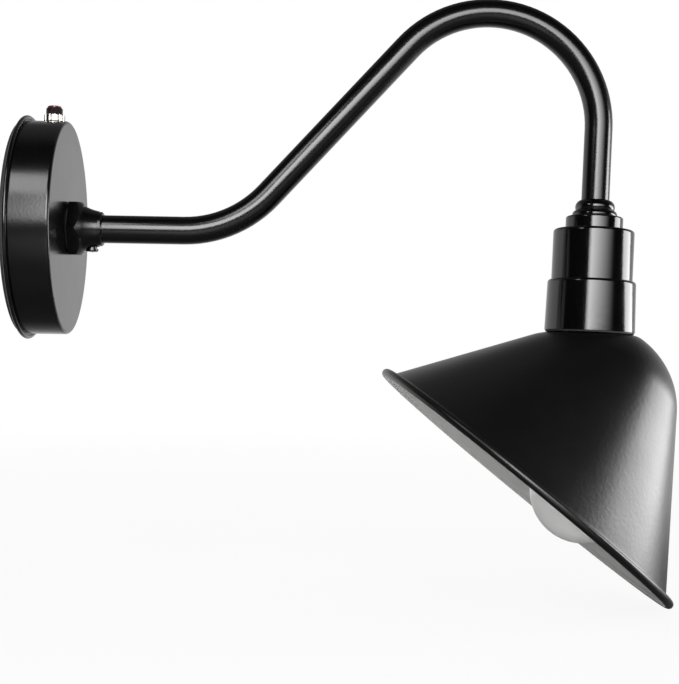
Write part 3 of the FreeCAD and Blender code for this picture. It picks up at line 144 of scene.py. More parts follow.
class StageSizes(PropertyGroup):
    """Camera, floor and lamps."""
    eye: FloatVectorProperty(name="Camera", description="Place of the camera", size=3, subtype="XYZ",
                             default=(0.1748, -0.7828, -0.0854))
    yaw: angle("Yaw", "Camera turned towards the wall", -math.degrees(0.0253))
    pitch: angle("Pitch", "Camera tipped up", math.degrees(0.0236))
    roll: angle("Roll", "Camera rolled", math.degrees(0.0155))
    lens: FloatProperty(name="Lens", description="Focal length on a 36 mm sensor", default=66.99,
                        subtype="DISTANCE_CAMERA")
    floor_gap: length("Floor gap", "Floor below the lowest point of the shade", 0.0016)


# ---------------------------------------------------------------- shared effects

def new_group(name, inputs, outputs):
    """A shader node group with named sockets. Returns its tree, input node and output node."""
    tree = bpy.data.node_groups.new(name, "ShaderNodeTree")
    for label, kind, value in inputs:
        socket = tree.interface.new_socket(name=label, in_out="INPUT", socket_type=kind)
        socket.default_value = value
    for label, kind in outputs:
        tree.interface.new_socket(name=label, in_out="OUTPUT", socket_type=kind)
    return tree, tree.nodes.new("NodeGroupInput"), tree.nodes.new("NodeGroupOutput")


def wire(tree, source, target):
    tree.links.new(source, target)


def maths(tree, operation, first, second=None, clamp=False):
    """A Math node. Sockets are linked and numbers are set."""
    node = tree.nodes.new("ShaderNodeMath")
    node.operation = operation
    node.use_clamp = clamp
    for socket, value in zip(node.inputs, (first, second)):
        if value is None:
            continue
        if isinstance(value, (int, float)):
            socket.default_value = value
        else:
            tree.links.new(value, socket)
    return node.outputs[0]


def spread(tree, value, low, high, bottom, top):
    """Map Range from low-high to bottom-top, held at the ends."""
    node = tree.nodes.new("ShaderNodeMapRange")
    for socket, number in zip(list(node.inputs)[1:5], (low, high, bottom, top)):
        if isinstance(number, (int, float)):
            socket.default_value = number
        else:
            tree.links.new(number, socket)
    tree.links.new(value, node.inputs[0])
    return node.outputs[0]


def noise(tree, vector, scale, detail=4.0, rough=0.5):
    node = tree.nodes.new("ShaderNodeTexNoise")
    node.inputs["Detail"].default_value = detail
    node.inputs["Roughness"].default_value = rough
    if isinstance(scale, (int, float)):
        node.inputs["Scale"].default_value = scale
    else:
        tree.links.new(scale, node.inputs["Scale"])
    tree.links.new(vector, node.inputs["Vector"])
    return node.outputs["Fac"]


def object_place(tree):
    return tree.nodes.new("ShaderNodeTexCoord").outputs["Object"]


def blend_colours(tree, factor, first, second):
    node = tree.nodes.new("ShaderNodeMix")
    node.data_type = "RGBA"
    tree.links.new(factor, node.inputs["Factor"])
    for socket, value in zip((node.inputs[6], node.inputs[7]), (first, second)):
        if isinstance(value, tuple):
            socket.default_value = value
        else:
            tree.links.new(value, socket)
    return node.outputs[2]


def enamel_skin_group():
    """Sprayed enamel: fine orange peel, faint cloudiness in gloss and a little settled dust."""
    tree, given, made = new_group(
        "enamel skin",
        [("Colour", "NodeSocketColor", (0.01, 0.01, 0.01, 1)), ("Dust", "NodeSocketColor", (0.2, 0.2, 0.19, 1)),
         ("Dust amount", "NodeSocketFloat", 0.03), ("Gloss", "NodeSocketFloat", 0.3),
         ("Peel", "NodeSocketFloat", 900.0)],
        [("Colour", "NodeSocketColor"), ("Roughness", "NodeSocketFloat"), ("Height", "NodeSocketFloat")])
    place = object_place(tree)
    peel = noise(tree, place, given.outputs["Peel"], 2.0, 0.4)
    grit = noise(tree, place, 5200.0, 2.0, 0.6)
    height = maths(tree, "ADD", peel, maths(tree, "MULTIPLY", grit, 0.12))
    cloud = noise(tree, place, 34.0, 5.0, 0.6)
    sheen = maths(tree, "MULTIPLY", maths(tree, "SUBTRACT", cloud, 0.5), 0.09)
    rough = maths(tree, "ADD", given.outputs["Gloss"], sheen)
    specks = noise(tree, place, 2400.0, 2.0, 0.7)
    settled = maths(tree, "MULTIPLY", spread(tree, specks, 0.62, 0.74, 0.0, 1.0),
                    maths(tree, "MULTIPLY", spread(tree, cloud, 0.4, 0.7, 0.2, 1.0),
                          given.outputs["Dust amount"]))
    wire(tree, blend_colours(tree, settled, given.outputs["Colour"], given.outputs["Dust"]),
         made.inputs["Colour"])
    wire(tree, maths(tree, "ADD", rough, maths(tree, "MULTIPLY", settled, 0.4), clamp=True),
         made.inputs["Roughness"])
    wire(tree, height, made.inputs["Height"])
    return tree


def drawn_lines_group():
    """Fine drawn or turned lines in metal, with a faint stain."""
    tree, given, made = new_group(
        "drawn lines",
        [("Colour", "NodeSocketColor", (0.5, 0.5, 0.5, 1)), ("Stain", "NodeSocketColor", (0.3, 0.26, 0.2, 1)),
         ("Stain amount", "NodeSocketFloat", 0.15), ("Gloss", "NodeSocketFloat", 0.25),
         ("Along", "NodeSocketVector", (40.0, 40.0, 2500.0))],
        [("Colour", "NodeSocketColor"), ("Roughness", "NodeSocketFloat"), ("Height", "NodeSocketFloat")])
    stretch = tree.nodes.new("ShaderNodeVectorMath")
    stretch.operation = "MULTIPLY"
    wire(tree, object_place(tree), stretch.inputs[0])
    wire(tree, given.outputs["Along"], stretch.inputs[1])
    lines = noise(tree, stretch.outputs[0], 1.0, 4.0, 0.65)
    blotch = noise(tree, object_place(tree), 160.0, 5.0, 0.65)
    stain = maths(tree, "MULTIPLY", spread(tree, blotch, 0.45, 0.75, 0.0, 1.0), given.outputs["Stain amount"])
    wire(tree, blend_colours(tree, stain, given.outputs["Colour"], given.outputs["Stain"]),
         made.inputs["Colour"])
    wire(tree, maths(tree, "ADD", given.outputs["Gloss"], maths(tree, "MULTIPLY", lines, 0.12), clamp=True),
         made.inputs["Roughness"])
    wire(tree, lines, made.inputs["Height"])
    return tree


def moulded_skin_group():
    """Moulded plastic, rubber or glaze: soft mottle, fine grain and worn sheen."""
    tree, given, made = new_group(
        "moulded skin",
        [("Colour", "NodeSocketColor", (0.05, 0.05, 0.05, 1)), ("Mottle", "NodeSocketColor", (0.1, 0.1, 0.1, 1)),
         ("Mottle amount", "NodeSocketFloat", 0.3), ("Gloss", "NodeSocketFloat", 0.5),
         ("Grain", "NodeSocketFloat", 1800.0)],
        [("Colour", "NodeSocketColor"), ("Roughness", "NodeSocketFloat"), ("Height", "NodeSocketFloat")])
    place = object_place(tree)
    cloud = noise(tree, place, 90.0, 4.0, 0.55)
    grain = noise(tree, place, given.outputs["Grain"], 3.0, 0.6)
    mottle = maths(tree, "MULTIPLY", spread(tree, cloud, 0.35, 0.7, 0.0, 1.0), given.outputs["Mottle amount"])
    wire(tree, blend_colours(tree, mottle, given.outputs["Colour"], given.outputs["Mottle"]),
         made.inputs["Colour"])
    sheen = maths(tree, "MULTIPLY", maths(tree, "SUBTRACT", cloud, 0.5), 0.16)
    wire(tree, maths(tree, "ADD", given.outputs["Gloss"], sheen, clamp=True), made.inputs["Roughness"])
    wire(tree, grain, made.inputs["Height"])
    return tree


GROUP_MAKERS = {"enamel skin": enamel_skin_group, "drawn lines": drawn_lines_group,
                "moulded skin": moulded_skin_group}


def shared_group(name):
    return bpy.data.node_groups.get(name) or GROUP_MAKERS[name]()


def rgba(value):
    return (value[0], value[1], value[2], 1.0)


def finish_material(name, group, values, bump=(0.1, 0.0001), **sockets):
    """A Principled material whose colour, roughness and relief come from a shared group."""
    material = bpy.data.materials.get(name)
    if material:
        return material
    material = bpy.data.materials.new(name)
    material.use_nodes = True
    tree = material.node_tree
    shader = tree.nodes["Principled BSDF"]
    skin = tree.nodes.new("ShaderNodeGroup")
    skin.node_tree = shared_group(group)
    for label, value in values.items():
        skin.inputs[label].default_value = value
    relief = tree.nodes.new("ShaderNodeBump")
    relief.inputs["Strength"].default_value, relief.inputs["Distance"].default_value = bump
    wire(tree, skin.outputs["Colour"], shader.inputs["Base Color"])
    wire(tree, skin.outputs["Roughness"], shader.inputs["Roughness"])
    wire(tree, skin.outputs["Height"], relief.inputs["Height"])
    wire(tree, relief.outputs["Normal"], shader.inputs["Normal"])
    for label, value in sockets.items():
        shader.inputs[label.replace("_", " ")].default_value = value
    return material


def satin_enamel(look):
    return finish_material("satin black enamel", "enamel skin",
                           {"Colour": rgba(look.enamel), "Gloss": look.enamel_rough, "Peel": 700.0,
                            "Dust amount": 0.015}, bump=(0.25, 0.00012), IOR=look.enamel_ior)


def shade_enamel(look):
    return finish_material("shade enamel", "enamel skin",
                           {"Colour": rgba(look.enamel), "Gloss": look.shade_rough, "Peel": 420.0,
                            "Dust amount": 0.01}, bump=(0.35, 0.0002), IOR=look.enamel_ior)


def gloss_enamel(look):
    return finish_material("gloss black enamel", "enamel skin",
                           {"Colour": rgba(look.enamel), "Gloss": look.gloss_rough, "Peel": 500.0,
                            "Dust amount": 0.01}, bump=(0.15, 0.0001), IOR=look.enamel_ior)


def shade_lining(look):
    return finish_material("pale shade lining", "enamel skin",
                           {"Colour": rgba(look.lining), "Dust": (0.4, 0.39, 0.36, 1), "Dust amount": 0.12,
                            "Gloss": 0.42, "Peel": 420.0}, bump=(0.25, 0.0002))


def bright_nickel(look):
    return finish_material("bright nickel", "drawn lines",
                           {"Colour": rgba(look.nickel), "Stain": (0.45, 0.4, 0.33, 1), "Stain amount": 0.25,
                            "Gloss": 0.16, "Along": (300.0, 300.0, 2600.0)}, bump=(0.12, 0.00008), Metallic=1.0)


def zinc_plate(look):
    return finish_material("zinc plate", "drawn lines",
                           {"Colour": rgba(look.zinc), "Stain": (0.42, 0.42, 0.36, 1), "Stain amount": 0.4,
                            "Gloss": 0.3, "Along": (900.0, 60.0, 900.0)}, bump=(0.12, 0.0001), Metallic=1.0)


def turned_brass(look):
    return finish_material("turned brass", "drawn lines",
                           {"Colour": rgba(look.brass), "Stain": (0.4, 0.26, 0.12, 1), "Stain amount": 0.4,
                            "Gloss": 0.24, "Along": (60.0, 60.0, 2600.0)}, bump=(0.1, 0.00008), Metallic=1.0)


def cap_aluminium():
    return finish_material("cap aluminium", "drawn lines",
                           {"Colour": (0.74, 0.74, 0.73, 1), "Stain": (0.5, 0.49, 0.46, 1), "Stain amount": 0.3,
                            "Gloss": 0.22, "Along": (60.0, 60.0, 2200.0)}, bump=(0.1, 0.00006), Metallic=1.0)


def glazed_porcelain(look):
    return finish_material("glazed porcelain", "moulded skin",
                           {"Colour": rgba(look.porcelain), "Mottle": (0.74, 0.72, 0.66, 1), "Mottle amount": 0.3,
                            "Gloss": 0.22, "Grain": 300.0}, bump=(0.12, 0.00015), Coat_Weight=0.6,
                           Coat_Roughness=0.08)


def black_rubber():
    return finish_material("black rubber", "moulded skin",
                           {"Colour": (0.02, 0.02, 0.02, 1), "Mottle": (0.05, 0.05, 0.05, 1),
                            "Mottle amount": 0.5, "Gloss": 0.72, "Grain": 1600.0}, bump=(0.3, 0.0002))


def black_sheath():
    return finish_material("black sheath", "moulded skin",
                           {"Colour": (0.025, 0.025, 0.026, 1), "Mottle": (0.06, 0.06, 0.06, 1),
                            "Mottle amount": 0.35, "Gloss": 0.5, "Grain": 2600.0}, bump=(0.15, 0.0001))


def orange_plastic():
    return finish_material("orange plastic", "moulded skin",
                           {"Colour": (0.72, 0.2, 0.03, 1), "Mottle": (0.8, 0.28, 0.06, 1),
                            "Mottle amount": 0.5, "Gloss": 0.4, "Grain": 1500.0}, bump=(0.2, 0.00015),
                           Subsurface_Weight=0.05)


def black_glass_cone():
    return finish_material("black glass cone", "moulded skin",
                           {"Colour": (0.008, 0.008, 0.008, 1), "Mottle": (0.03, 0.03, 0.03, 1),
                            "Mottle amount": 0.4, "Gloss": 0.14, "Grain": 700.0}, bump=(0.1, 0.0001))


def phosphor():
    return finish_material("phosphor strip", "moulded skin",
                           {"Colour": (0.62, 0.42, 0.1, 1), "Mottle": (0.7, 0.5, 0.16, 1), "Mottle amount": 0.6,
                            "Gloss": 0.6, "Grain": 2600.0}, bump=(0.3, 0.0002))


def barrel_plastic():
    """Black moulded barrel with a fine thread, and a faint brownish mottle."""
    material = finish_material("sensor barrel", "moulded skin",
                               {"Colour": (0.006, 0.005, 0.005, 1), "Mottle": (0.05, 0.022, 0.014, 1),
                                "Mottle amount": 0.35, "Gloss": 0.3, "Grain": 2200.0}, bump=(0.6, 0.00035))
    tree = material.node_tree
    skin = next(node for node in tree.nodes if node.type == "GROUP")
    relief = next(node for node in tree.nodes if node.type == "BUMP")
    turns = tree.nodes.new("ShaderNodeTexWave")
    turns.bands_direction = "Z"
    turns.inputs["Scale"].default_value = 330.0
    turns.inputs["Distortion"].default_value = 0.0
    wire(tree, object_place(tree), turns.inputs["Vector"])
    wire(tree, maths(tree, "ADD", skin.outputs["Height"], maths(tree, "MULTIPLY", turns.outputs["Fac"], 2.0)),
         relief.inputs["Height"])
    return material


def glass_material(name, tint, rough, bump, transmission=1.0, **sockets):
    """Blown glass with faint ripples."""
    material = bpy.data.materials.new(name)
    material.use_nodes = True
    tree = material.node_tree
    shader = tree.nodes["Principled BSDF"]
    place = object_place(tree)
    cloud = noise(tree, place, 60.0, 3.0, 0.5)
    pale = tuple(min(1.0, part * 1.06) for part in tint[:3]) + (1.0,)
    wire(tree, blend_colours(tree, spread(tree, cloud, 0.35, 0.65, 0.0, 1.0), rgba(tint), pale),
         shader.inputs["Base Color"])
    wire(tree, spread(tree, noise(tree, place, 25.0, 3.0), 0.3, 0.7, rough * 0.85, rough * 1.15),
         shader.inputs["Roughness"])
    relief = tree.nodes.new("ShaderNodeBump")
    relief.inputs["Strength"].default_value = bump
    relief.inputs["Distance"].default_value = 0.0004
    wire(tree, noise(tree, place, 45.0, 2.0), relief.inputs["Height"])
    wire(tree, relief.outputs["Normal"], shader.inputs["Normal"])
    shader.inputs["Transmission Weight"].default_value = transmission
    for label, value in sockets.items():
        shader.inputs[label.replace("_", " ")].default_value = value
    return material


def paint(material, *nodes):
    """Give CAD pieces a material on their own slots."""
    for name in nodes:
        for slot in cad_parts[name].material_slots:
            slot.link = "OBJECT"
            slot.material = material


# ---------------------------------------------------------------- shade

def seat_plane(sizes):
    """Middle and upward normal of the flat seat."""
    return (Vector((sizes.seat_x, 0, -sizes.seat_drop)),
            Vector((math.sin(sizes.lean), 0, math.cos(sizes.lean))))


def shade_frame(sizes):
    """Matrix from the shade's frame (axis along Z) to the world."""
    across = Vector((math.cos(sizes.tilt), 0, -math.sin(sizes.tilt)))
    up = Vector((math.sin(sizes.tilt), 0, math.cos(sizes.tilt)))
    middle = seat_plane(sizes)[0] + across * sizes.seat_side - up * sizes.seat_height
    turn = Matrix((across, Vector((0, 1, 0)), up)).transposed().to_4x4()
    return Matrix.Translation(middle) @ turn


def shade_profile(sizes):
    """Round the sheet once, (radius, height, is inside): outside from the nose down, lip, inside back up."""
    cone = sizes.cone
    nose = sizes.nose_radius
    middle = (sizes.mouth_radius - nose / math.cos(cone)) / math.tan(cone)
    outline = []
    for step in range(NOSE_STEPS + 1):
        turn = math.pi / 2 + (cone - math.pi / 2) * step / NOSE_STEPS
        outline.append((nose * math.cos(turn), middle + nose * math.sin(turn), False))
    end_radius, end_height, _ = outline[-1]
    lip_top = sizes.lip_rise + sizes.lip_radius * math.sin(LIP_START)
    for step in range(1, FLANK_STEPS):
        part = step / FLANK_STEPS
        if end_height * (1 - part) > lip_top:
            outline.append((end_radius + (sizes.mouth_radius - end_radius) * part, end_height * (1 - part), False))
    lip_middle = sizes.mouth_radius + sizes.lip_out
    lip_end = -math.pi + math.asin(sizes.lip_rise / sizes.lip_radius)
    for step in range(LIP_STEPS + 1):
        turn = LIP_START + (lip_end - LIP_START) * step / LIP_STEPS
        outline.append((lip_middle + sizes.lip_radius * math.cos(turn),
                        sizes.lip_rise + sizes.lip_radius * math.sin(turn), turn < LINING_START))
    inner_nose = nose - sizes.wall
    inner_mouth = sizes.mouth_radius - sizes.wall / math.cos(cone)
    inner_radius = inner_nose * math.cos(cone)
    inner_height = middle + inner_nose * math.sin(cone)
    for step in range(FLANK_STEPS):
        part = step / FLANK_STEPS
        outline.append((inner_mouth + (inner_radius - inner_mouth) * part, inner_height * part, True))
    for step in range(NOSE_STEPS + 1):
        turn = cone + (math.pi / 2 - cone) * step / NOSE_STEPS
        outline.append((inner_nose * math.cos(turn), middle + inner_nose * math.sin(turn), True))
    return outline


def pressed_flat(point, seat, normal, level, crease):
    """Push what rises above the seat's plane down onto it, with a rounded crease."""
    rise = (point - seat).dot(normal) - level
    if rise <= -crease:
        return point
    flat = 0.0 if rise >= crease else -(crease - rise) ** 2 / (4 * crease)
    return point + normal * (flat - rise)


def shade_mesh(sizes):
    """Spun sheet with a rolled lip and a flat seat pressed into its flank."""
    mesh = bpy.data.meshes.new("shade_shell")
    built = bmesh.new()
    place = shade_frame(sizes)
    seat, normal = seat_plane(sizes)
    rings = []
    outline = shade_profile(sizes)
    for radius, height, inside in outline:
        level = -sizes.seat_wall if inside else 0.0
        if radius < 1e-7:
            spot = pressed_flat(place @ Vector((0, 0, height)), seat, normal, level, sizes.crease)
            rings.append([built.verts.new(spot)])
            continue
        ring = []
        for step in range(sizes.steps):
            turn = 2 * math.pi * step / sizes.steps
            spot = place @ Vector((radius * math.cos(turn), radius * math.sin(turn), height))
            ring.append(built.verts.new(pressed_flat(spot, seat, normal, level, sizes.crease)))
        rings.append(ring)
    for index, (ring, after) in enumerate(zip(rings, rings[1:])):
        lined = outline[index][2] and outline[index + 1][2]
        for step in range(sizes.steps):
            side = (step + 1) % sizes.steps
            corners = [ring[step % len(ring)], ring[side % len(ring)],
                       after[side % len(after)], after[step % len(after)]]
            corners = list(dict.fromkeys(corners))
            face = built.faces.new(corners)
            face.smooth = True
            face.material_index = 1 if lined else 0
    bmesh.ops.recalc_face_normals(built, faces=built.faces)
    built.to_mesh(mesh)
    built.free()
    return mesh


def bored(piece, sizes):
    """The piece's mesh with the lampholder's hole cut through it."""
    seat, normal = seat_plane(sizes)
    drill_mesh = bpy.data.meshes.new("drill")
    built = bmesh.new()
    bmesh.ops.create_cone(built, cap_ends=True, segments=128, radius1=sizes.hole, radius2=sizes.hole,
                          depth=DRILL_DEPTH)
    built.to_mesh(drill_mesh)
    built.free()
    drill = bpy.data.objects.new("drill", drill_mesh)
    bpy.context.scene.collection.objects.link(drill)
    drill.matrix_world = (Matrix.Translation(seat)
                          @ normal.to_track_quat("Z", "Y").to_matrix().to_4x4())
    cut = piece.modifiers.new("hole", "BOOLEAN")
    cut.operation = "DIFFERENCE"
    cut.solver = "EXACT"
    cut.object = drill
    bpy.context.view_layer.update()
    solved = bpy.data.meshes.new_from_object(piece.evaluated_get(bpy.context.evaluated_depsgraph_get()))
    piece.modifiers.remove(cut)
    bpy.data.objects.remove(drill)
    piece.data = solved
    for face in solved.polygons:
        face.use_smooth = True


class SCONCE_OT_shade(Operator):
    """Spin the shade with its rolled lip, flat seat and pale lining"""
    bl_idname = "sconce.shade"
    bl_label = "Shade"

    def execute(self, context):
        sizes = context.scene.sconce_shade
        look = context.scene.sconce_finishes
        shade = bpy.data.objects.new("spun_shade", shade_mesh(sizes))
        context.scene.collection.objects.link(shade)
        shade.data.materials.append(shade_enamel(look))
        shade.data.materials.append(shade_lining(look))
        bored(shade, sizes)
        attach(shade, "shade")
        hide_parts("shade")
        return {"FINISHED"}


# ---------------------------------------------------------------- pieces of the frame

class SCONCE_OT_canopy(Operator):
    """Finish the canopy, its back plate and the hardware behind it"""
    bl_idname = "sconce.canopy"
    bl_label = "Canopy"

    def execute(self, context):
        look = context.scene.sconce_finishes
        paint(satin_enamel(look), "canopy_cup", "back_plate")
        paint(zinc_plate(look), "mounting_strap", "strap_rivets", "ground_screw", "canopy_side_screws")
        paint(black_rubber(), "wall_gasket")
        return {"FINISHED"}


class SCONCE_OT_sensor(Operator):
    """Finish the light sensor and its knurled nut"""
    bl_idname = "sconce.sensor"
    bl_label = "Light sensor"

    def execute(self, context):
        look = context.scene.sconce_finishes
        paint(barrel_plastic(), "sensor_body")
        paint(bright_nickel(look), "sensor_nut")
        paint(black_rubber(), "sensor_seal")
        paint(glass_material("sensor window", (0.2, 0.06, 0.05), 0.12, 0.05, transmission=0.4,
                             Coat_Weight=0.5, Coat_Roughness=0.05), "sensor_lens")
        return {"FINISHED"}


class SCONCE_OT_hub(Operator):
    """Finish the hub, its gasket, nut, washer and set screw"""
    bl_idname = "sconce.hub"
    bl_label = "Hub"

    def execute(self, context):
        look = context.scene.sconce_finishes
        paint(satin_enamel(look), "arm_hub")
        paint(zinc_plate(look), "hub_washer", "hub_lock_nut")
        paint(gloss_enamel(look), "hub_set_screw")
        paint(black_rubber(), "hub_seal")
        return {"FINISHED"}


class SCONCE_OT_arm(Operator):
    """Finish the bent arm and the leads"""
    bl_idname = "sconce.arm"
    bl_label = "Arm and leads"

    def execute(self, context):
        look = context.scene.sconce_finishes
        paint(satin_enamel(look), "gooseneck_arm")
        paint(black_sheath(), "lamp_lead", "canopy_lead", "canopy_wires")
        paint(orange_plastic(), "wire_connectors")
        return {"FINISHED"}


class SCONCE_OT_cans(Operator):
    """Finish the neck, the ring and the two cans"""
    bl_idname = "sconce.cans"
    bl_label = "Neck and cans"

    def execute(self, context):
        look = context.scene.sconce_finishes
        paint(gloss_enamel(look), "neck_collar", "cap_ring", "upper_can", "lower_can")
        return {"FINISHED"}


class SCONCE_OT_lampholder(Operator):
    """Finish the lampholder, its yoke and the ring that clamps the shade"""
    bl_idname = "sconce.lampholder"
    bl_label = "Lampholder"

    def execute(self, context):
        look = context.scene.sconce_finishes
        paint(glazed_porcelain(look), "lampholder", "clamp_ring")
        paint(turned_brass(look), "screw_shell", "centre_contact", "nipple")
        paint(zinc_plate(look), "lampholder_yoke", "yoke_screws", "yoke_nut")
        paint(black_rubber(), "can_seal")
        return {"FINISHED"}


class SCONCE_OT_bulb(Operator):
    """Finish the bulb, its cap, stem and light strips"""
    bl_idname = "sconce.bulb"
    bl_label = "Bulb"

    def execute(self, context):
        look = context.scene.sconce_finishes
        paint(cap_aluminium(), "bulb_cap")
        paint(black_glass_cone(), "bulb_insulator")
        paint(turned_brass(look), "bulb_contact")
        paint(glass_material("pearl glass", look.pearl, 0.3, 0.05, transmission=0.06, Coat_Weight=0.4,
                             Coat_Roughness=0.08), "bulb_glass")
        paint(glass_material("clear glass", (0.9, 0.92, 0.91), 0.03, 0.05), "bulb_stem")
        paint(phosphor(), "light_strips")
        paint(zinc_plate(look), "support_wires")
        return {"FINISHED"}


# ---------------------------------------------------------------- stage

def add_camera(scene, sizes):
    """Camera of the photograph's view: turned by yaw, tipped by pitch, then rolled."""
    turn = Matrix.Rotation(sizes.yaw, 3, "Z")
    ahead = Vector((0, math.cos(sizes.pitch), math.sin(sizes.pitch)))
    above = Vector((0, -math.sin(sizes.pitch), math.cos(sizes.pitch)))
    side = Vector((1, 0, 0))
    right = turn @ (side * math.cos(sizes.roll) + above * math.sin(sizes.roll))
    up = turn @ (above * math.cos(sizes.roll) - side * math.sin(sizes.roll))
    back = -(turn @ ahead)
    camera = bpy.data.objects.new("camera", bpy.data.cameras.new("camera"))
    scene.collection.objects.link(camera)
    camera.matrix_world = (Matrix.Translation(Vector(sizes.eye))
                           @ Matrix((right, up, back)).transposed().to_4x4())
    camera.data.lens = sizes.lens
    camera.data.sensor_width = 36.0
    camera.data.clip_start = 0.01
    camera.data.clip_end = 60.0
    scene.camera = camera


def add_softbox(scene, name, place, target, size, power, roll):
    """A rectangular lamp that faces a point, rolled about its own axis."""
    lamp = bpy.data.lights.new(name, "AREA")
    lamp.shape = "RECTANGLE"
    lamp.size, lamp.size_y = size
    lamp.energy = power
    holder = bpy.data.objects.new(name, lamp)
    holder.visible_camera = False
    scene.collection.objects.link(holder)
    holder.location = place
    facing = (Vector(target) - Vector(place)).to_track_quat("-Z", "Y")
    holder.rotation_euler = (facing.to_matrix() @ Matrix.Rotation(math.radians(roll), 3, "Z")).to_euler()
    return lamp


def fade_across(lamp, edge, full, power):
    """Dim a lamp across its width: edge at its left, 1 at full, and down to 0 at its right."""
    lamp.use_nodes = True
    tree = lamp.node_tree
    glow = next(node for node in tree.nodes if node.type == "EMISSION")
    across = tree.nodes.new("ShaderNodeSeparateXYZ")
    wire(tree, tree.nodes.new("ShaderNodeNewGeometry").outputs["Parametric"], across.inputs[0])
    rise = spread(tree, across.outputs["X"], full * 0.5, full, edge, 1.0)
    fall = maths(tree, "POWER", spread(tree, across.outputs["X"], full, 1.0, 1.0, 0.0), power)
    wire(tree, maths(tree, "MULTIPLY", rise, fall), glow.inputs["Strength"])


def seen_directly(tree):
    """Two masks: what is seen straight or through glass, and what is seen in gloss."""
    path = tree.nodes.new("ShaderNodeLightPath")
    direct = maths(tree, "ADD", path.outputs["Is Camera Ray"], path.outputs["Is Transmission Ray"], clamp=True)
    return direct, path.outputs["Is Glossy Ray"]


def light_world(scene):
    """White behind the object, and a plain dim room in front of it."""
    world = bpy.data.worlds.new("room")
    scene.world = world
    world.use_nodes = True
    tree = world.node_tree
    background = tree.nodes["Background"]
    way = tree.nodes.new("ShaderNodeSeparateXYZ")
    wire(tree, tree.nodes.new("ShaderNodeTexCoord").outputs["Generated"], way.inputs[0])
    behind = maths(tree, "MULTIPLY", spread(tree, way.outputs["Y"], 0.0, 0.35, 0.0, 0.72),
                   spread(tree, way.outputs["Z"], 0.15, 0.65, 1.0, 0.12))
    direct, glossy = seen_directly(tree)
    white = maths(tree, "ADD", direct, maths(tree, "MULTIPLY", glossy, behind), clamp=True)
    room = blend_colours(tree, glossy, (0.45, 0.45, 0.45, 1), (0.012, 0.012, 0.012, 1))
    wire(tree, blend_colours(tree, white, room, (1, 1, 1, 1)), background.inputs["Color"])
    background.inputs["Strength"].default_value = 1.0


def floor_material(look):
    """Pale floor that reads white and keeps a faint shadow."""
    material = bpy.data.materials.new("pale floor")
    material.use_nodes = True
    tree = material.node_tree
    shader = tree.nodes["Principled BSDF"]
    place = object_place(tree)
    direct, glossy = seen_directly(tree)
    grain = noise(tree, place, 9.0, 4.0, 0.5)
    low = tuple(part * 0.985 for part in look.floor) + (1.0,)
    pale = blend_colours(tree, grain, rgba(look.floor), low)
    wire(tree, blend_colours(tree, glossy, pale, (0.1, 0.1, 0.1, 1)), shader.inputs["Base Color"])
    wire(tree, spread(tree, grain, 0.3, 0.7, 0.32, 0.4), shader.inputs["Roughness"])
    glow = tree.nodes.new("ShaderNodeEmission")
    glow.inputs["Color"].default_value = (1, 1, 1, 1)
    mixed = tree.nodes.new("ShaderNodeMixShader")
    way = tree.nodes.new("ShaderNodeSeparateXYZ")
    wire(tree, place, way.inputs[0])
    behind = spread(tree, way.outputs["Y"], 0.1, 0.6, 0.0, 0.8)
    reach = tree.nodes.new("ShaderNodeVectorMath")
    reach.operation = "LENGTH"
    wire(tree, place, reach.inputs[0])
    bright = maths(tree, "MULTIPLY", direct, spread(tree, reach.outputs["Value"], 0.3, 2.2, 0.9, 1.0))
    wire(tree, maths(tree, "ADD", bright, maths(tree, "MULTIPLY", glossy, behind), clamp=True),
         mixed.inputs["Fac"])
    wire(tree, shader.outputs["BSDF"], mixed.inputs[1])
    wire(tree, glow.outputs["Emission"], mixed.inputs[2])
    wire(tree, mixed.outputs["Shader"], tree.nodes["Material Output"].inputs["Surface"])
    return material


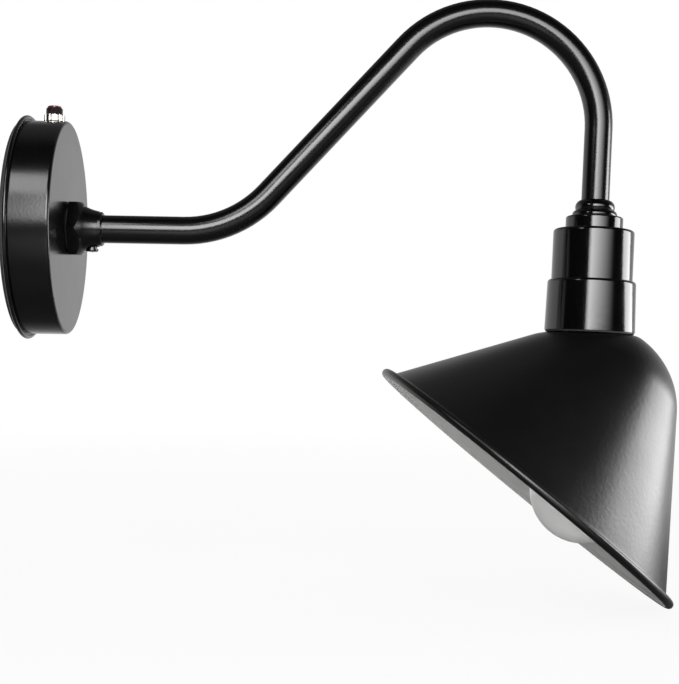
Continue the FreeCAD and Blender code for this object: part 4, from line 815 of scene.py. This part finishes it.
class SCONCE_OT_stage(Operator):
    """Set up the camera, the pale floor and the soft lamps"""
    bl_idname = "sconce.stage"
    bl_label = "Stage"

    def execute(self, context):
        scene = context.scene
        sizes = scene.sconce_stage
        add_camera(scene, sizes)
        light_world(scene)
        mesh = bpy.data.meshes.new("floor")
        built = bmesh.new()
        bmesh.ops.create_grid(built, x_segments=2, y_segments=2, size=FLOOR_HALF)
        built.to_mesh(mesh)
        built.free()
        floor = bpy.data.objects.new("floor", mesh)
        scene.collection.objects.link(floor)
        floor.location = (FLOOR_X, 0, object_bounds()[0].z - sizes.floor_gap)
        mesh.materials.append(floor_material(scene.sconce_finishes))
        floor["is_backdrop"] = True
        for name, place, target, size, power, roll in SOFTBOXES:
            lamp = add_softbox(scene, name, place, target, size, power, roll)
            if name in FADES:
                fade_across(lamp, *FADES[name])
        scene.view_settings.view_transform = "Standard"
        return {"FINISHED"}


class SCONCE_PT_panel(Panel):
    """Lists the pieces of the sconce"""
    bl_idname = "SCONCE_PT_panel"
    bl_label = "Wall Sconce"
    bl_space_type = "VIEW_3D"
    bl_region_type = "UI"
    bl_category = "Sconce"

    def draw(self, context):
        layout = self.layout
        for operator in OPERATORS:
            layout.operator(operator.bl_idname)
        for settings in (context.scene.sconce_shade, context.scene.sconce_finishes, context.scene.sconce_stage):
            box = layout.box()
            for name in settings.__annotations__:
                box.prop(settings, name)


OPERATORS = (SCONCE_OT_canopy, SCONCE_OT_sensor, SCONCE_OT_hub, SCONCE_OT_arm, SCONCE_OT_cans,
             SCONCE_OT_lampholder, SCONCE_OT_shade, SCONCE_OT_bulb, SCONCE_OT_stage)
CLASSES = (ShadeSizes, Finishes, StageSizes) + OPERATORS + (SCONCE_PT_panel,)


def register():
    for entry in CLASSES:
        bpy.utils.register_class(entry)
    bpy.types.Scene.sconce_shade = PointerProperty(type=ShadeSizes)
    bpy.types.Scene.sconce_finishes = PointerProperty(type=Finishes)
    bpy.types.Scene.sconce_stage = PointerProperty(type=StageSizes)


def unregister():
    for name in ("sconce_shade", "sconce_finishes", "sconce_stage"):
        delattr(bpy.types.Scene, name)
    for entry in reversed(CLASSES):
        bpy.utils.unregister_class(entry)


def main():
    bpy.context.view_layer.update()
    register()
    for operator in OPERATORS:
        group, name = operator.bl_idname.split(".")
        getattr(getattr(bpy.ops, group), name)()


if __name__ == "__main__":
    main()
